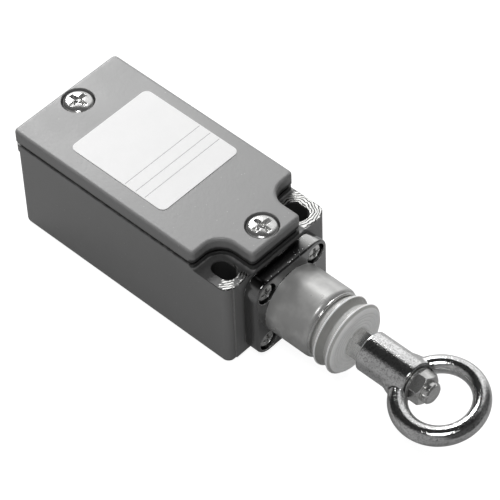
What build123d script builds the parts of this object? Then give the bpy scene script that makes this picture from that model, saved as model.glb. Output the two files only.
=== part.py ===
from build123d import *
import os
from math import cos, pi, sqrt

# Rope pull switch: a small metal limit-switch body with a pull head on its front end.
# Origin: on the flat back of the housing, midway between the two mounting slots.
# +X is the way the eye is pulled, +Y the width, +Z from the mounting face to the cover.

# Housing, a die-cast box that is open towards the cover
WIDTH = 31.0
REAR_LENGTH = 58.5
FRONT_LENGTH = 4.5
RIM_HEIGHT = 24.8
WALL = 2.2
FLOOR = 2.2
FRONT_BLOCK = 11.5
OUTER_EDGE_R = 1.8
BACK_EDGE_R = 1.2
CAVITY_CORNER_R = 2.0
PANEL_PROUD = 0.4
PANEL_INSET = 2.1

# Ears at the front corners, with the mounting slots
EAR_WIDTH = 8.1
EAR_LENGTH = 9.4
EAR_DROP = 0.9
EAR_CORNER_R = 4.2
SLOT_PITCH = 22.1
SLOT_LENGTH = 6.3
SLOT_WIDTH = 4.3

# Cable entry in the rear wall, an M16 x 1.5 thread
ENTRY_MINOR_R = 7.188
ENTRY_Z = 10.4
ENTRY_LENGTH = 7.5

# Cover, its gasket and its two screws
GASKET_HEIGHT = 1.1
GASKET_INSET = 0.5
COVER_THICKNESS = 3.2
COVER_OVERHANG = 0.1
COVER_FRONT_OVERHANG = 0.3
COVER_EDGE_R = 0.7
COVER_CORNER_R = 1.1
COVER_NOTCH_R = 4.5
COVER_RIB = 1.2
COVER_RIB_DEPTH = 1.9
COVER_HOLLOW = 1.3
COVER_SCREW_INSET = 4.2
COVER_SCREW_HEAD_R = 3.5
COVER_SCREW_HEAD_H = 2.3
COVER_SCREW_R = 1.75
COVER_SINK_R = 3.8
COVER_SINK_DEPTH = 2.1
HOLE_CLEARANCE = 0.25

# White label on the cover
LABEL_REAR = 45.5
LABEL_LENGTH = 28.0
LABEL_WIDTH = 23.5
LABEL_SIDE = 0.6
LABEL_CORNER_R = 1.5
LABEL_THICKNESS = 0.12

# Pull head: square flange and round barrel on the pull axis
HEAD_GASKET = 0.4
HEAD_GASKET_INSET = 0.4
FLANGE_SIZE = 22.0
FLANGE_THICKNESS = 3.5
FLANGE_CORNER_R = 3.9
FLANGE_EDGE_R = 0.5
BARREL_R = 8.4
BARREL_LENGTH = 11.6
BARREL_RIM_R = 1.3
HEAD_SCREW_PITCH = 15.0
HEAD_SCREW_R = 1.2
HEAD_SCREW_HEAD_R = 2.25
HEAD_SCREW_HEAD_H = 1.6
HEAD_SCREW_LENGTH = 7.0
HEAD_SINK_R = 2.6
HEAD_SINK_DEPTH = 1.9
SPIGOT_R = 6.5
SPIGOT_LENGTH = 5.4
SPIGOT_CLEARANCE = 0.1
BORE_ROOF = 1.1
SPRING_BORE_R = 4.9
BUSH_SEAT = 2.8
CHAMBER_R = 7.4
CHAMBER_LENGTH = 6.9
MOUTH_LIP = 0.9
MOUTH_R = 7.0

# Guide bush for the rod
BUSH_R = 4.4
BUSH_FLANGE_R = 4.8
BUSH_FLANGE = 0.9
BUSH_NOSE = 0.6
ROD_CLEARANCE = 0.05

# Silicone bellows between the head and the rod
BELLOWS_WALL = 0.8
BELLOWS_PEAK_R = 8.4
BELLOWS_VALLEY_R = 7.3
BELLOWS_NECK_R = 6.5
BELLOWS_BEAD_R = 7.25
BELLOWS_BEAD = 1.6
BELLOWS_PEAK_1 = 1.9
BELLOWS_VALLEY = 4.0
BELLOWS_PEAK_2 = 5.4
BELLOWS_END = 6.7
BELLOWS_LIP = 0.5
BELLOWS_SHOULDER = 1.3
BELLOWS_COLLAR = 1.6
BELLOWS_ROUND_R = 0.6
BELLOWS_ROD_GAP = 0.2
CLAMP_RING_LENGTH = 2.0

# Pull rod, turned from hexagon bar
ROD_R = 3.0
ROD_HEX = 6.4
ROD_HEX_LENGTH = 3.4
ROD_HEX_TURN = 8.0
SPINDLE_R = 2.5
SPINDLE_CLEARANCE = 0.07
ROD_TAIL_R = 2.8
ROD_NECK_R = 1.7
ROD_NECK_LENGTH = 2.6
ROD_BUTTON = 1.6
CLIP_GROOVE_R = 2.2
PULL_TRAVEL = 6.0

# Eye: sleeve and ring in one forging, with the nut and washer that keep it
SLEEVE_R = 4.7
SLEEVE_LENGTH = 12.8
SLEEVE_EDGE = 0.5
RING_CENTRE = 19.4
RING_R = 8.75
RING_BAR_R = 2.1
RING_ROLL = 8.0
SPOT_FACE_R = 4.1
SPOT_FACE_DEPTH = 0.5
WASHER_R = 3.7
WASHER_THICKNESS = 0.8
NUT_ACROSS = 6.6
NUT_HEIGHT = 3.0
NUT_TURN = 32.0
NUT_CHAMFER = 0.36
STUD_PROUD = 1.6
STUD_CHAMFER = 0.4

# Return spring, its collar and its clip
SPRING_WIRE = 0.7
SPRING_MEAN_R = 4.15
SPRING_TURNS = 6.0
COLLAR_R = 4.6
COLLAR_THICKNESS = 1.5
CLIP_THICKNESS = 0.7
CLIP_R = 4.3
CLIP_MOUTH = 3.5
CLIP_TO_TAIL = 2.0
COLLAR_BORE_CLEARANCE = 0.6
COLLAR_FROM_WALL = 1.5

# Contact block in the housing, with a sliding carrier
BLOCK_FRONT_GAP = 0.9
BLOCK_WEB = 5.0
BLOCK_SIDE_GAP = 0.9
BLOCK_SEAT = 0.8
BLOCK_END_WALL = 1.05
BLOCK_LID_HEIGHT = 3.5
BLOCK_EDGE_R = 1.0
CARRIER_WIDTH = 5.8
CARRIER_HEIGHT = 6.4
CARRIER_END_WALL = 2.4
CARRIER_SNAP_LIP = 0.5
SLIDE_CLEARANCE = 0.3
BRIDGE_END_GAP = 3.9
BRIDGE_HEIGHT = 4.0
BRIDGE_THICKNESS = 1.0
CONTACT_R = 1.3
CONTACT_THICKNESS = 0.6
CONTACT_INSET = 1.5
CONTACT_GAP = 0.03
WINDOW_LENGTH = 6.0
WINDOW_PLAY = 0.6
CHAMBER_END_GAP = 1.2
CONTACT_SPRING_R = 1.5
CONTACT_SPRING_WIRE = 0.4
CONTACT_SPRING_TURNS = 4.0
STRIP_THICKNESS = 0.8
STRIP_WIDTH = 5.2
STRIP_EDGE_GAP = 1.2
PLATE_LENGTH = 6.9
TERMINAL_HEAD_R = 2.9
TERMINAL_HEAD_H = 1.9
TERMINAL_SCREW_R = 1.75
TERMINAL_SCREW_ROOF = 0.4
CLAMP_PLATE = 0.8
CLAMP_SIZE = 5.8
CLAMP_CORNER_R = 0.6
CLAMP_LIP = 0.5
CLAMP_LIP_GAP = 0.1
BLOCK_SCREW_R = 1.5
BLOCK_SCREW_HEAD_R = 2.6
BLOCK_SCREW_HEAD_H = 1.8
BLOCK_SCREW_BITE = 2.2
BLOCK_PAD_R = 3.6

# Earth screw on a boss beside the cable entry
EARTH_BOSS_R = 3.1
EARTH_BOSS_TOP = 9.0
EARTH_BITE = 5.0
EARTH_FROM_REAR = 3.2
EARTH_FROM_SIDE = 3.9

# Pan-head screws, as shares of a head's radius or height
CROSS_ARM = 0.24
CROSS_SPAN = 1.15
CROSS_DEPTH = 0.62
PAN_EDGE = 0.45
PAN_ROUND = 0.45

# Modelling aids: how far a cutter runs past its face, the slack for picking edges by place,
# and the most of a wall that the rounding of its rim may take
THROUGH = 1.0
TINY = 0.01
ROUND_SHARE = 0.9

# Places that follow from the sizes above
HALF_WIDTH = WIDTH / 2
AXIS_Z = RIM_HEIGHT / 2
PANEL_X = FRONT_LENGTH + PANEL_PROUD
EAR_START = FRONT_LENGTH - EAR_LENGTH
EAR_TOP = RIM_HEIGHT - EAR_DROP
TONGUE_HALF = HALF_WIDTH - EAR_WIDTH
CAVITY_FRONT = FRONT_LENGTH - FRONT_BLOCK
CAVITY_REAR = ENTRY_LENGTH - REAR_LENGTH
CAVITY_HALF = HALF_WIDTH - WALL
COVER_BASE = RIM_HEIGHT + GASKET_HEIGHT
COVER_TOP = COVER_BASE + COVER_THICKNESS
COVER_FRONT_X = FRONT_LENGTH + COVER_FRONT_OVERHANG
COVER_SCREW_XS = (COVER_SCREW_INSET - REAR_LENGTH, COVER_FRONT_X - COVER_SCREW_INSET)
SINK_FLOOR = COVER_TOP - COVER_SINK_DEPTH
COVER_SCREW_END = AXIS_Z + SPIGOT_R + SPIGOT_CLEARANCE + BORE_ROOF
COVER_SCREW_LENGTH = SINK_FLOOR - COVER_SCREW_END
FLANGE_X = PANEL_X + HEAD_GASKET
BARREL_X = FLANGE_X + FLANGE_THICKNESS
MOUTH_X = BARREL_X + BARREL_LENGTH
BUSH_X = FLANGE_X + BUSH_SEAT
CHAMBER_X = MOUTH_X - MOUTH_LIP - CHAMBER_LENGTH
HEX_X = MOUTH_X + BELLOWS_END + BELLOWS_ROD_GAP
SHOULDER_X = HEX_X + ROD_HEX_LENGTH
SLEEVE_END_X = SHOULDER_X + SLEEVE_LENGTH
RING_X = SHOULDER_X + RING_CENTRE
WASHER_X = SLEEVE_END_X - SPOT_FACE_DEPTH
NUT_X = WASHER_X + WASHER_THICKNESS
STUD_X = NUT_X + NUT_HEIGHT + STUD_PROUD
COLLAR_X = CAVITY_FRONT + COLLAR_FROM_WALL
CLIP_X = COLLAR_X - CLIP_THICKNESS
TAIL_X = CLIP_X - CLIP_TO_TAIL
NECK_X = TAIL_X - ROD_NECK_LENGTH
BUTTON_X = NECK_X - ROD_BUTTON
BLOCK_BASE_Z = FLOOR + BLOCK_SEAT
BLOCK_MID_Z = AXIS_Z + CARRIER_HEIGHT / 2 + SLIDE_CLEARANCE
BLOCK_TOP_Z = BLOCK_MID_Z + BLOCK_LID_HEIGHT
BLOCK_HALF = CAVITY_HALF - BLOCK_SIDE_GAP
BLOCK_FRONT_X = CAVITY_FRONT - BLOCK_FRONT_GAP
CHAMBER_HALF = BLOCK_HALF - CHAMBER_END_GAP
BRIDGE_HALF = BLOCK_HALF - BRIDGE_END_GAP
CONTACT_Y = BRIDGE_HALF - CONTACT_INSET
TERMINAL_Y = CHAMBER_HALF - STRIP_WIDTH / 2
NO_SEAT_X = BLOCK_FRONT_X - BLOCK_END_WALL - STRIP_THICKNESS
NO_BRIDGE_X = NO_SEAT_X - BRIDGE_THICKNESS - 2 * CONTACT_THICKNESS - PULL_TRAVEL - CONTACT_GAP
NO_CHAMBER = (NO_BRIDGE_X - SLIDE_CLEARANCE, NO_SEAT_X + STRIP_THICKNESS)
NC_CHAMBER_END = NO_CHAMBER[0] - BLOCK_WEB
NC_BRIDGE_X = NC_CHAMBER_END - SLIDE_CLEARANCE - PULL_TRAVEL - BRIDGE_THICKNESS
NC_SEAT_X = NC_BRIDGE_X - 2 * CONTACT_THICKNESS - CONTACT_GAP
NC_CHAMBER = (NC_SEAT_X - STRIP_THICKNESS, NC_CHAMBER_END)
BLOCK_REAR_X = NC_SEAT_X - PLATE_LENGTH
NC_WINDOW = (NC_BRIDGE_X - WINDOW_PLAY, NC_BRIDGE_X - WINDOW_PLAY + WINDOW_LENGTH)
NO_WINDOW = (NO_BRIDGE_X + BRIDGE_THICKNESS - WINDOW_LENGTH, NO_BRIDGE_X + BRIDGE_THICKNESS)
CARRIER_REAR_X = NC_WINDOW[0] - CARRIER_END_WALL
TERMINAL_XS = (NC_SEAT_X - PLATE_LENGTH / 2, NO_SEAT_X + STRIP_THICKNESS - PLATE_LENGTH / 2)
TERMINAL_SEAT_Z = BLOCK_TOP_Z + STRIP_THICKNESS + CLAMP_PLATE
TERMINAL_SCREW_END = BLOCK_MID_Z + TERMINAL_SCREW_ROOF
BLOCK_SCREW_X = (NC_CHAMBER[1] + NO_CHAMBER[0]) / 2
BLOCK_SCREW_Y = TERMINAL_Y
EARTH_X = CAVITY_REAR + EARTH_FROM_REAR
EARTH_Y = CAVITY_HALF - EARTH_FROM_SIDE

os.makedirs("parts", exist_ok=True)


def block(x0, x1, y0, y1, z0, z1):
    """Box between two corners."""
    return Pos((x0 + x1) / 2, (y0 + y1) / 2, (z0 + z1) / 2) * Box(x1 - x0, y1 - y0, z1 - z0)


def rod_x(x0, x1, radius, y=0.0, z=AXIS_Z):
    """Cylinder along X."""
    return Pos((x0 + x1) / 2, y, z) * Rot(0, 90, 0) * Cylinder(radius, x1 - x0)


def rod_z(z0, z1, radius, x, y):
    """Cylinder along Z."""
    return Pos(x, y, (z0 + z1) / 2) * Cylinder(radius, z1 - z0)


def hex_x(x0, x1, across, turn=0.0):
    """Hexagon bar along X."""
    face = Plane.YZ.offset(x0) * Pos(0, AXIS_Z) * Rot(0, 0, turn)
    return extrude(face * RegularPolygon(across / sqrt(3), 6), x1 - x0)


def turned(points):
    """Solid turned about the pull axis from (x, radius) points."""
    outline = Polyline(*[(x, r) for x, r in points], close=True)
    return Pos(0, 0, AXIS_Z) * revolve(make_face(outline), Axis.X)


def case_outline(inset, front, notch_r, corner_r):
    """Plan of the case: a rectangle with a square notch for each front ear."""
    half = HALF_WIDTH - inset
    rear = inset - REAR_LENGTH
    tongue = TONGUE_HALF - inset
    start = EAR_START - inset
    outline = Polyline(
        (rear, -half),
        (start, -half),
        (start, -tongue),
        (front, -tongue),
        (front, tongue),
        (start, tongue),
        (start, half),
        (rear, half),
        close=True,
    )
    face = make_face(outline)
    concave = [v for v in face.vertices() if abs(v.X - start) < TINY and abs(abs(v.Y) - tongue) < TINY]
    face = fillet(concave, notch_r)
    ends = (rear, front)
    convex = [v for v in face.vertices() if min(abs(v.X - end) for end in ends) < TINY]
    convex += [v for v in face.vertices() if abs(v.X - start) < TINY and abs(abs(v.Y) - half) < TINY]
    return fillet(convex, corner_r)


def cavity_face(shrink=0.0):
    """Plan of the wiring space between the thick rear wall and the front block."""
    rear = CAVITY_REAR + shrink
    front = CAVITY_FRONT - shrink
    plan = Rectangle(front - rear, 2 * (CAVITY_HALF - shrink))
    plan = fillet(plan.vertices(), CAVITY_CORNER_R - shrink)
    return Pos((rear + front) / 2, 0) * plan


def cross_recess(head_r, head_h):
    """Cross-shaped driver recess in the crown of a head that faces +Z."""
    arm = head_r * CROSS_ARM
    span = head_r * CROSS_SPAN
    depth = head_h * CROSS_DEPTH
    recess = Box(span, arm, depth) + Box(arm, span, depth)
    return Pos(0, 0, head_h - depth / 2) * Rot(0, 0, 45) * recess


def pan_screw(head_r, head_h, shank_r, shank_length):
    """Pan-head screw along Z: seat at z = 0, head up, cross recess in the crown."""
    edge = head_h * PAN_EDGE
    crown_r = head_r - edge
    outline = Polyline((0, 0), (head_r, 0), (head_r, edge), (crown_r, head_h), (0, head_h), close=True)
    face = make_face(outline)
    rim = [v for v in face.vertices() if v.X > crown_r - TINY and v.Y > edge - TINY]
    head = Rot(90, 0, 0) * revolve(fillet(rim, edge * PAN_ROUND), Axis.Y)
    shank = Pos(0, 0, -shank_length / 2) * Cylinder(shank_r, shank_length)
    return head + shank - cross_recess(head_r, head_h)


def spring(x0, x1, mean_r, wire_r, turns):
    """Coil spring along the pull axis between two faces."""
    pitch = (x1 - x0 - 2 * wire_r) / turns
    path = Helix(pitch, x1 - x0 - 2 * wire_r, mean_r, center=(x0 + wire_r, 0, AXIS_Z), direction=(1, 0, 0))
    section = Plane(origin=path @ 0, z_dir=path % 0) * Circle(wire_r)
    return sweep(section, path=path, is_frenet=True)


def at_cover_screws(piece):
    """Copies of a piece at the two cover screws, with z = 0 at the seat of their heads."""
    return [Pos(x, 0, SINK_FLOOR) * piece for x in COVER_SCREW_XS]


def at_head_screws(piece, seat_x):
    """Copies of a piece, built along Z, at the four flange screws and facing +X."""
    reach = HEAD_SCREW_PITCH / 2
    places = [(y, z) for y in (-reach, reach) for z in (AXIS_Z - reach, AXIS_Z + reach)]
    return [Pos(seat_x, y, z) * Rot(0, 90, 0) * piece for y, z in places]


def make_housing():
    length = REAR_LENGTH + FRONT_LENGTH
    plan = Pos(FRONT_LENGTH - length / 2, 0) * Rectangle(length, WIDTH)
    plan = fillet(plan.vertices(), OUTER_EDGE_R)
    body = extrude(plan, EAR_TOP)
    body = fillet(body.edges().group_by(Axis.Z)[0], BACK_EDGE_R)
    tongue = case_outline(0, PANEL_X, EAR_CORNER_R, COVER_CORNER_R)
    body += extrude(Pos(0, 0, EAR_TOP - THROUGH) * tongue, RIM_HEIGHT - EAR_TOP + THROUGH)
    panel_half = HALF_WIDTH - PANEL_INSET
    body += block(0, PANEL_X, -panel_half, panel_half, BACK_EDGE_R, EAR_TOP)
    body -= extrude(Pos(0, 0, FLOOR) * cavity_face(), RIM_HEIGHT)
    body += rod_z(FLOOR - THROUGH, EARTH_BOSS_TOP, EARTH_BOSS_R, EARTH_X, EARTH_Y)
    for side in (-1, 1):
        seat_y = side * BLOCK_SCREW_Y
        body += rod_z(FLOOR - THROUGH, BLOCK_BASE_Z, BLOCK_PAD_R, BLOCK_SCREW_X, seat_y)
        body -= rod_z(BLOCK_BASE_Z - BLOCK_SCREW_BITE, RIM_HEIGHT, BLOCK_SCREW_R, BLOCK_SCREW_X, seat_y)
        slot = Pos(0, side * SLOT_PITCH / 2) * SlotOverall(SLOT_LENGTH, SLOT_WIDTH)
        body -= extrude(slot, RIM_HEIGHT + THROUGH)
    body -= rod_z(EARTH_BOSS_TOP - EARTH_BITE, RIM_HEIGHT, TERMINAL_SCREW_R, EARTH_X, EARTH_Y)
    body -= rod_x(CAVITY_FRONT - THROUGH, PANEL_X + THROUGH, COLLAR_R + COLLAR_BORE_CLEARANCE)
    spigot_end = FLANGE_X - SPIGOT_LENGTH - SPIGOT_CLEARANCE
    body -= rod_x(spigot_end, PANEL_X + THROUGH, SPIGOT_R + SPIGOT_CLEARANCE)
    body -= rod_x(-REAR_LENGTH - THROUGH, CAVITY_REAR + THROUGH, ENTRY_MINOR_R, z=ENTRY_Z)
    for x in COVER_SCREW_XS:
        body -= rod_z(COVER_SCREW_END, RIM_HEIGHT + THROUGH, COVER_SCREW_R, x, 0)
    seat_x = BARREL_X - HEAD_SINK_DEPTH
    thread = Pos(0, 0, -HEAD_SCREW_LENGTH / 2) * Cylinder(HEAD_SCREW_R, HEAD_SCREW_LENGTH)
    for hole in at_head_screws(thread, seat_x):
        body -= hole
    return body


def make_cover_gasket():
    front = PANEL_X - GASKET_INSET
    ring = case_outline(GASKET_INSET, front, EAR_CORNER_R, COVER_CORNER_R)
    gasket = extrude(Pos(0, 0, RIM_HEIGHT) * (ring - cavity_face()), GASKET_HEIGHT)
    for x in COVER_SCREW_XS:
        gasket -= rod_z(RIM_HEIGHT - THROUGH, COVER_BASE + THROUGH, COVER_SCREW_R + HOLE_CLEARANCE, x, 0)
    return gasket


def make_cover():
    plan = case_outline(-COVER_OVERHANG, COVER_FRONT_X, COVER_NOTCH_R, COVER_CORNER_R)
    cover = extrude(Pos(0, 0, COVER_BASE) * plan, COVER_THICKNESS)
    cover = fillet(cover.edges().group_by(Axis.Z)[-1], COVER_EDGE_R)
    rib_base = COVER_BASE - COVER_RIB_DEPTH
    cover += extrude(Pos(0, 0, rib_base) * cavity_face(HOLE_CLEARANCE), COVER_RIB_DEPTH)
    hollow = cavity_face(HOLE_CLEARANCE + COVER_RIB)
    cover -= extrude(Pos(0, 0, rib_base) * hollow, COVER_RIB_DEPTH + COVER_HOLLOW)
    for x in COVER_SCREW_XS:
        cover -= rod_z(SINK_FLOOR, COVER_TOP + THROUGH, COVER_SINK_R, x, 0)
        cover -= rod_z(COVER_BASE - THROUGH, COVER_TOP, COVER_SCREW_R + HOLE_CLEARANCE, x, 0)
    return cover


def make_cover_screws():
    screw = pan_screw(COVER_SCREW_HEAD_R, COVER_SCREW_HEAD_H, COVER_SCREW_R, COVER_SCREW_LENGTH)
    return at_cover_screws(screw)


def make_label():
    plan = RectangleRounded(LABEL_LENGTH, LABEL_WIDTH, LABEL_CORNER_R)
    place = Pos(LABEL_LENGTH / 2 - LABEL_REAR, LABEL_SIDE, COVER_TOP)
    return place * extrude(plan, LABEL_THICKNESS)


def flange_plate(size, corner_r, x0, thickness):
    """Rounded square plate on the pull axis."""
    face = Plane.YZ.offset(x0) * Pos(0, AXIS_Z) * RectangleRounded(size, size, corner_r)
    return extrude(face, thickness)


def make_head():
    head = flange_plate(FLANGE_SIZE, FLANGE_CORNER_R, FLANGE_X, FLANGE_THICKNESS)
    head = fillet(head.edges().group_by(Axis.X)[-1], FLANGE_EDGE_R)
    barrel = rod_x(BARREL_X - THROUGH, MOUTH_X, BARREL_R)
    barrel -= rod_x(BARREL_X - THROUGH, MOUTH_X, MOUTH_R)
    rim = [e for e in barrel.edges().group_by(Axis.X)[-1] if e.radius > BARREL_R - TINY]
    head += fillet(rim, min(BARREL_RIM_R, ROUND_SHARE * (BARREL_R - MOUTH_R)))
    head += rod_x(FLANGE_X - SPIGOT_LENGTH, FLANGE_X + THROUGH, SPIGOT_R)
    head -= rod_x(FLANGE_X - SPIGOT_LENGTH, BUSH_X, SPRING_BORE_R)
    head -= rod_x(BUSH_X - THROUGH, CHAMBER_X + THROUGH, BUSH_R)
    head -= rod_x(CHAMBER_X, MOUTH_X - MOUTH_LIP, CHAMBER_R)
    sink = Pos(0, 0, HEAD_SINK_DEPTH / 2) * Cylinder(HEAD_SINK_R, HEAD_SINK_DEPTH)
    through = Cylinder(HEAD_SCREW_R + HOLE_CLEARANCE, 2 * FLANGE_THICKNESS)
    for hole in at_head_screws(sink + through, BARREL_X - HEAD_SINK_DEPTH):
        head -= hole
    return head


def make_head_gasket():
    inner = SPIGOT_R + HOLE_CLEARANCE
    size = FLANGE_SIZE - 2 * HEAD_GASKET_INSET
    gasket = flange_plate(size, FLANGE_CORNER_R, PANEL_X, HEAD_GASKET)
    gasket -= rod_x(PANEL_X - THROUGH, FLANGE_X + THROUGH, inner)
    through = Cylinder(HEAD_SCREW_R + HOLE_CLEARANCE, FLANGE_THICKNESS)
    for hole in at_head_screws(through, FLANGE_X):
        gasket -= hole
    return gasket


def make_head_screws():
    screw = pan_screw(HEAD_SCREW_HEAD_R, HEAD_SCREW_HEAD_H, HEAD_SCREW_R, HEAD_SCREW_LENGTH)
    return at_head_screws(screw, BARREL_X - HEAD_SINK_DEPTH)


def make_guide_bush():
    bush = rod_x(BUSH_X - BUSH_FLANGE, BUSH_X, BUSH_FLANGE_R)
    bush += rod_x(BUSH_X, CHAMBER_X + BUSH_NOSE, BUSH_R)
    bore = rod_x(BUSH_X - BUSH_FLANGE - THROUGH, CHAMBER_X + BUSH_NOSE + THROUGH, ROD_R + ROD_CLEARANCE)
    return bush - bore


def make_clamp_ring():
    rear = CHAMBER_X + BELLOWS_BEAD
    ring = rod_x(rear, rear + CLAMP_RING_LENGTH, CHAMBER_R)
    return ring - rod_x(rear, rear + CLAMP_RING_LENGTH, BELLOWS_NECK_R)


def make_bellows():
    """Bead, neck, two convolutions and a thick front collar that rides on the rod."""
    wall = BELLOWS_WALL
    flat = wall / 2
    neck_x = MOUTH_X + BELLOWS_LIP
    peak_1 = MOUTH_X + BELLOWS_PEAK_1
    dip = MOUTH_X + BELLOWS_VALLEY
    peak_2 = MOUTH_X + BELLOWS_PEAK_2
    end = MOUTH_X + BELLOWS_END
    bead_x = CHAMBER_X + BELLOWS_BEAD
    hole = ROD_R + BELLOWS_ROD_GAP
    shoulder = BELLOWS_PEAK_R - BELLOWS_SHOULDER
    outline = Polyline(
        (CHAMBER_X, BELLOWS_BEAD_R),
        (bead_x, BELLOWS_BEAD_R),
        (bead_x, BELLOWS_NECK_R),
        (neck_x, BELLOWS_NECK_R),
        (peak_1 - flat, BELLOWS_PEAK_R),
        (peak_1 + flat, BELLOWS_PEAK_R),
        (dip - flat, BELLOWS_VALLEY_R),
        (dip + flat, BELLOWS_VALLEY_R),
        (peak_2 - flat, BELLOWS_PEAK_R),
        (peak_2 + flat, BELLOWS_PEAK_R),
        (end, shoulder),
        (end, hole),
        (end - BELLOWS_COLLAR, hole),
        (end - BELLOWS_COLLAR, hole + wall),
        (end - wall, hole + 2 * wall),
        (end - wall, shoulder - wall),
        (peak_2, BELLOWS_PEAK_R - wall),
        (dip, BELLOWS_VALLEY_R - wall),
        (peak_1, BELLOWS_PEAK_R - wall),
        (neck_x, BELLOWS_NECK_R - wall),
        (CHAMBER_X, BELLOWS_NECK_R - wall),
        close=True,
    )
    face = make_face(outline)
    bends = [v for v in face.vertices() if v.X > neck_x + TINY and v.Y > BELLOWS_VALLEY_R - TINY]
    bends = [v for v in bends if v.Y > BELLOWS_PEAK_R - TINY or abs(v.Y - BELLOWS_VALLEY_R) < TINY]
    face = fillet(bends, BELLOWS_ROUND_R)
    return Pos(0, 0, AXIS_Z) * revolve(face, Axis.X)


def make_pull_rod():
    rod = rod_x(TAIL_X, HEX_X, ROD_R)
    rod += hex_x(HEX_X, SHOULDER_X, ROD_HEX, ROD_HEX_TURN)
    rod += rod_x(SHOULDER_X, STUD_X, SPINDLE_R)
    rod = chamfer(rod.edges().filter_by(GeomType.CIRCLE).sort_by(Axis.X)[-1], STUD_CHAMFER)
    rod += rod_x(BUTTON_X, TAIL_X + THROUGH, ROD_NECK_R)
    rod += rod_x(BUTTON_X, NECK_X, ROD_TAIL_R)
    groove = rod_x(CLIP_X, COLLAR_X, ROD_R + THROUGH)
    groove -= rod_x(CLIP_X, COLLAR_X, CLIP_GROOVE_R)
    return rod - groove


def make_spring_collar():
    collar = rod_x(COLLAR_X, COLLAR_X + COLLAR_THICKNESS, COLLAR_R)
    return collar - rod_x(COLLAR_X, COLLAR_X + COLLAR_THICKNESS, ROD_R)


def make_clip():
    """Open retaining clip that snaps into the groove of the rod from one side."""
    clip = rod_x(CLIP_X, COLLAR_X, CLIP_R) - rod_x(CLIP_X, COLLAR_X, CLIP_GROOVE_R)
    half = CLIP_MOUTH / 2
    return clip - block(CLIP_X, COLLAR_X, -half, half, AXIS_Z, AXIS_Z + CLIP_R)


def make_return_spring():
    seat = BUSH_X - BUSH_FLANGE
    return spring(COLLAR_X + COLLAR_THICKNESS, seat, SPRING_MEAN_R, SPRING_WIRE / 2, SPRING_TURNS)


def make_ring_eye():
    sleeve = rod_x(SHOULDER_X, SLEEVE_END_X, SLEEVE_R)
    ends = sleeve.edges().filter_by(GeomType.CIRCLE)
    sleeve = chamfer(ends, SLEEVE_EDGE)
    ring = Pos(SHOULDER_X + RING_CENTRE, 0, AXIS_Z) * Rot(RING_ROLL, 0, 0) * Torus(RING_R, RING_BAR_R)
    eye = sleeve + ring
    eye -= rod_x(WASHER_X, NUT_X + NUT_HEIGHT, SPOT_FACE_R)
    return eye - rod_x(SHOULDER_X - THROUGH, SLEEVE_END_X + THROUGH, SPINDLE_R + SPINDLE_CLEARANCE)


def make_washer():
    washer = rod_x(WASHER_X, NUT_X, WASHER_R)
    return washer - rod_x(WASHER_X, NUT_X, SPINDLE_R)


def make_nut():
    nut = hex_x(NUT_X, NUT_X + NUT_HEIGHT, NUT_ACROSS, NUT_TURN)
    across_corners = NUT_ACROSS / cos(pi / 6)
    crown = turned([
        (NUT_X, 0),
        (NUT_X, NUT_ACROSS / 2),
        (NUT_X + NUT_CHAMFER, across_corners / 2),
        (NUT_X + NUT_HEIGHT - NUT_CHAMFER, across_corners / 2),
        (NUT_X + NUT_HEIGHT, NUT_ACROSS / 2),
        (NUT_X + NUT_HEIGHT, 0),
    ])
    return (nut & crown) - rod_x(NUT_X - THROUGH, NUT_X + NUT_HEIGHT + THROUGH, SPINDLE_R)


def make_block_base():
    base = block(BLOCK_REAR_X, BLOCK_FRONT_X, -BLOCK_HALF, BLOCK_HALF, BLOCK_BASE_Z, BLOCK_MID_Z)
    base = fillet(base.edges().filter_by(Axis.Z), BLOCK_EDGE_R)
    channel_half = CARRIER_WIDTH / 2 + SLIDE_CLEARANCE
    channel_low = AXIS_Z - CARRIER_HEIGHT / 2 - SLIDE_CLEARANCE
    channel_rear = CARRIER_REAR_X - SLIDE_CLEARANCE
    channel_front = BLOCK_FRONT_X + THROUGH
    open_z = BLOCK_MID_Z + THROUGH
    base -= block(channel_rear, channel_front, -channel_half, channel_half, channel_low, open_z)
    low = AXIS_Z - BRIDGE_HEIGHT / 2 - SLIDE_CLEARANCE
    for x0, x1 in (NC_CHAMBER, NO_CHAMBER):
        base -= block(x0, x1, -CHAMBER_HALF, CHAMBER_HALF, low, open_z)
    hole_r = BLOCK_SCREW_R + HOLE_CLEARANCE
    for y in (-BLOCK_SCREW_Y, BLOCK_SCREW_Y):
        base -= rod_z(BLOCK_BASE_Z - THROUGH, open_z, hole_r, BLOCK_SCREW_X, y)
    return base


def make_block_lid():
    lid = block(BLOCK_REAR_X, BLOCK_FRONT_X, -BLOCK_HALF, BLOCK_HALF, BLOCK_MID_Z, BLOCK_TOP_Z)
    lid = fillet(lid.edges().filter_by(Axis.Z), BLOCK_EDGE_R)
    low = BLOCK_MID_Z - THROUGH
    high = BLOCK_TOP_Z + THROUGH
    hole_r = BLOCK_SCREW_R + HOLE_CLEARANCE
    for side in (-1, 1):
        y0 = side * TERMINAL_Y - STRIP_WIDTH / 2
        y1 = y0 + STRIP_WIDTH
        for x0 in (NC_SEAT_X - STRIP_THICKNESS, NO_SEAT_X):
            lid -= block(x0, x0 + STRIP_THICKNESS, y0, y1, low, high)
        lid -= rod_z(low, high, hole_r, BLOCK_SCREW_X, side * BLOCK_SCREW_Y)
        for x in TERMINAL_XS:
            lid -= rod_z(TERMINAL_SCREW_END, high, TERMINAL_SCREW_R, x, side * TERMINAL_Y)
    return lid


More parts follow.
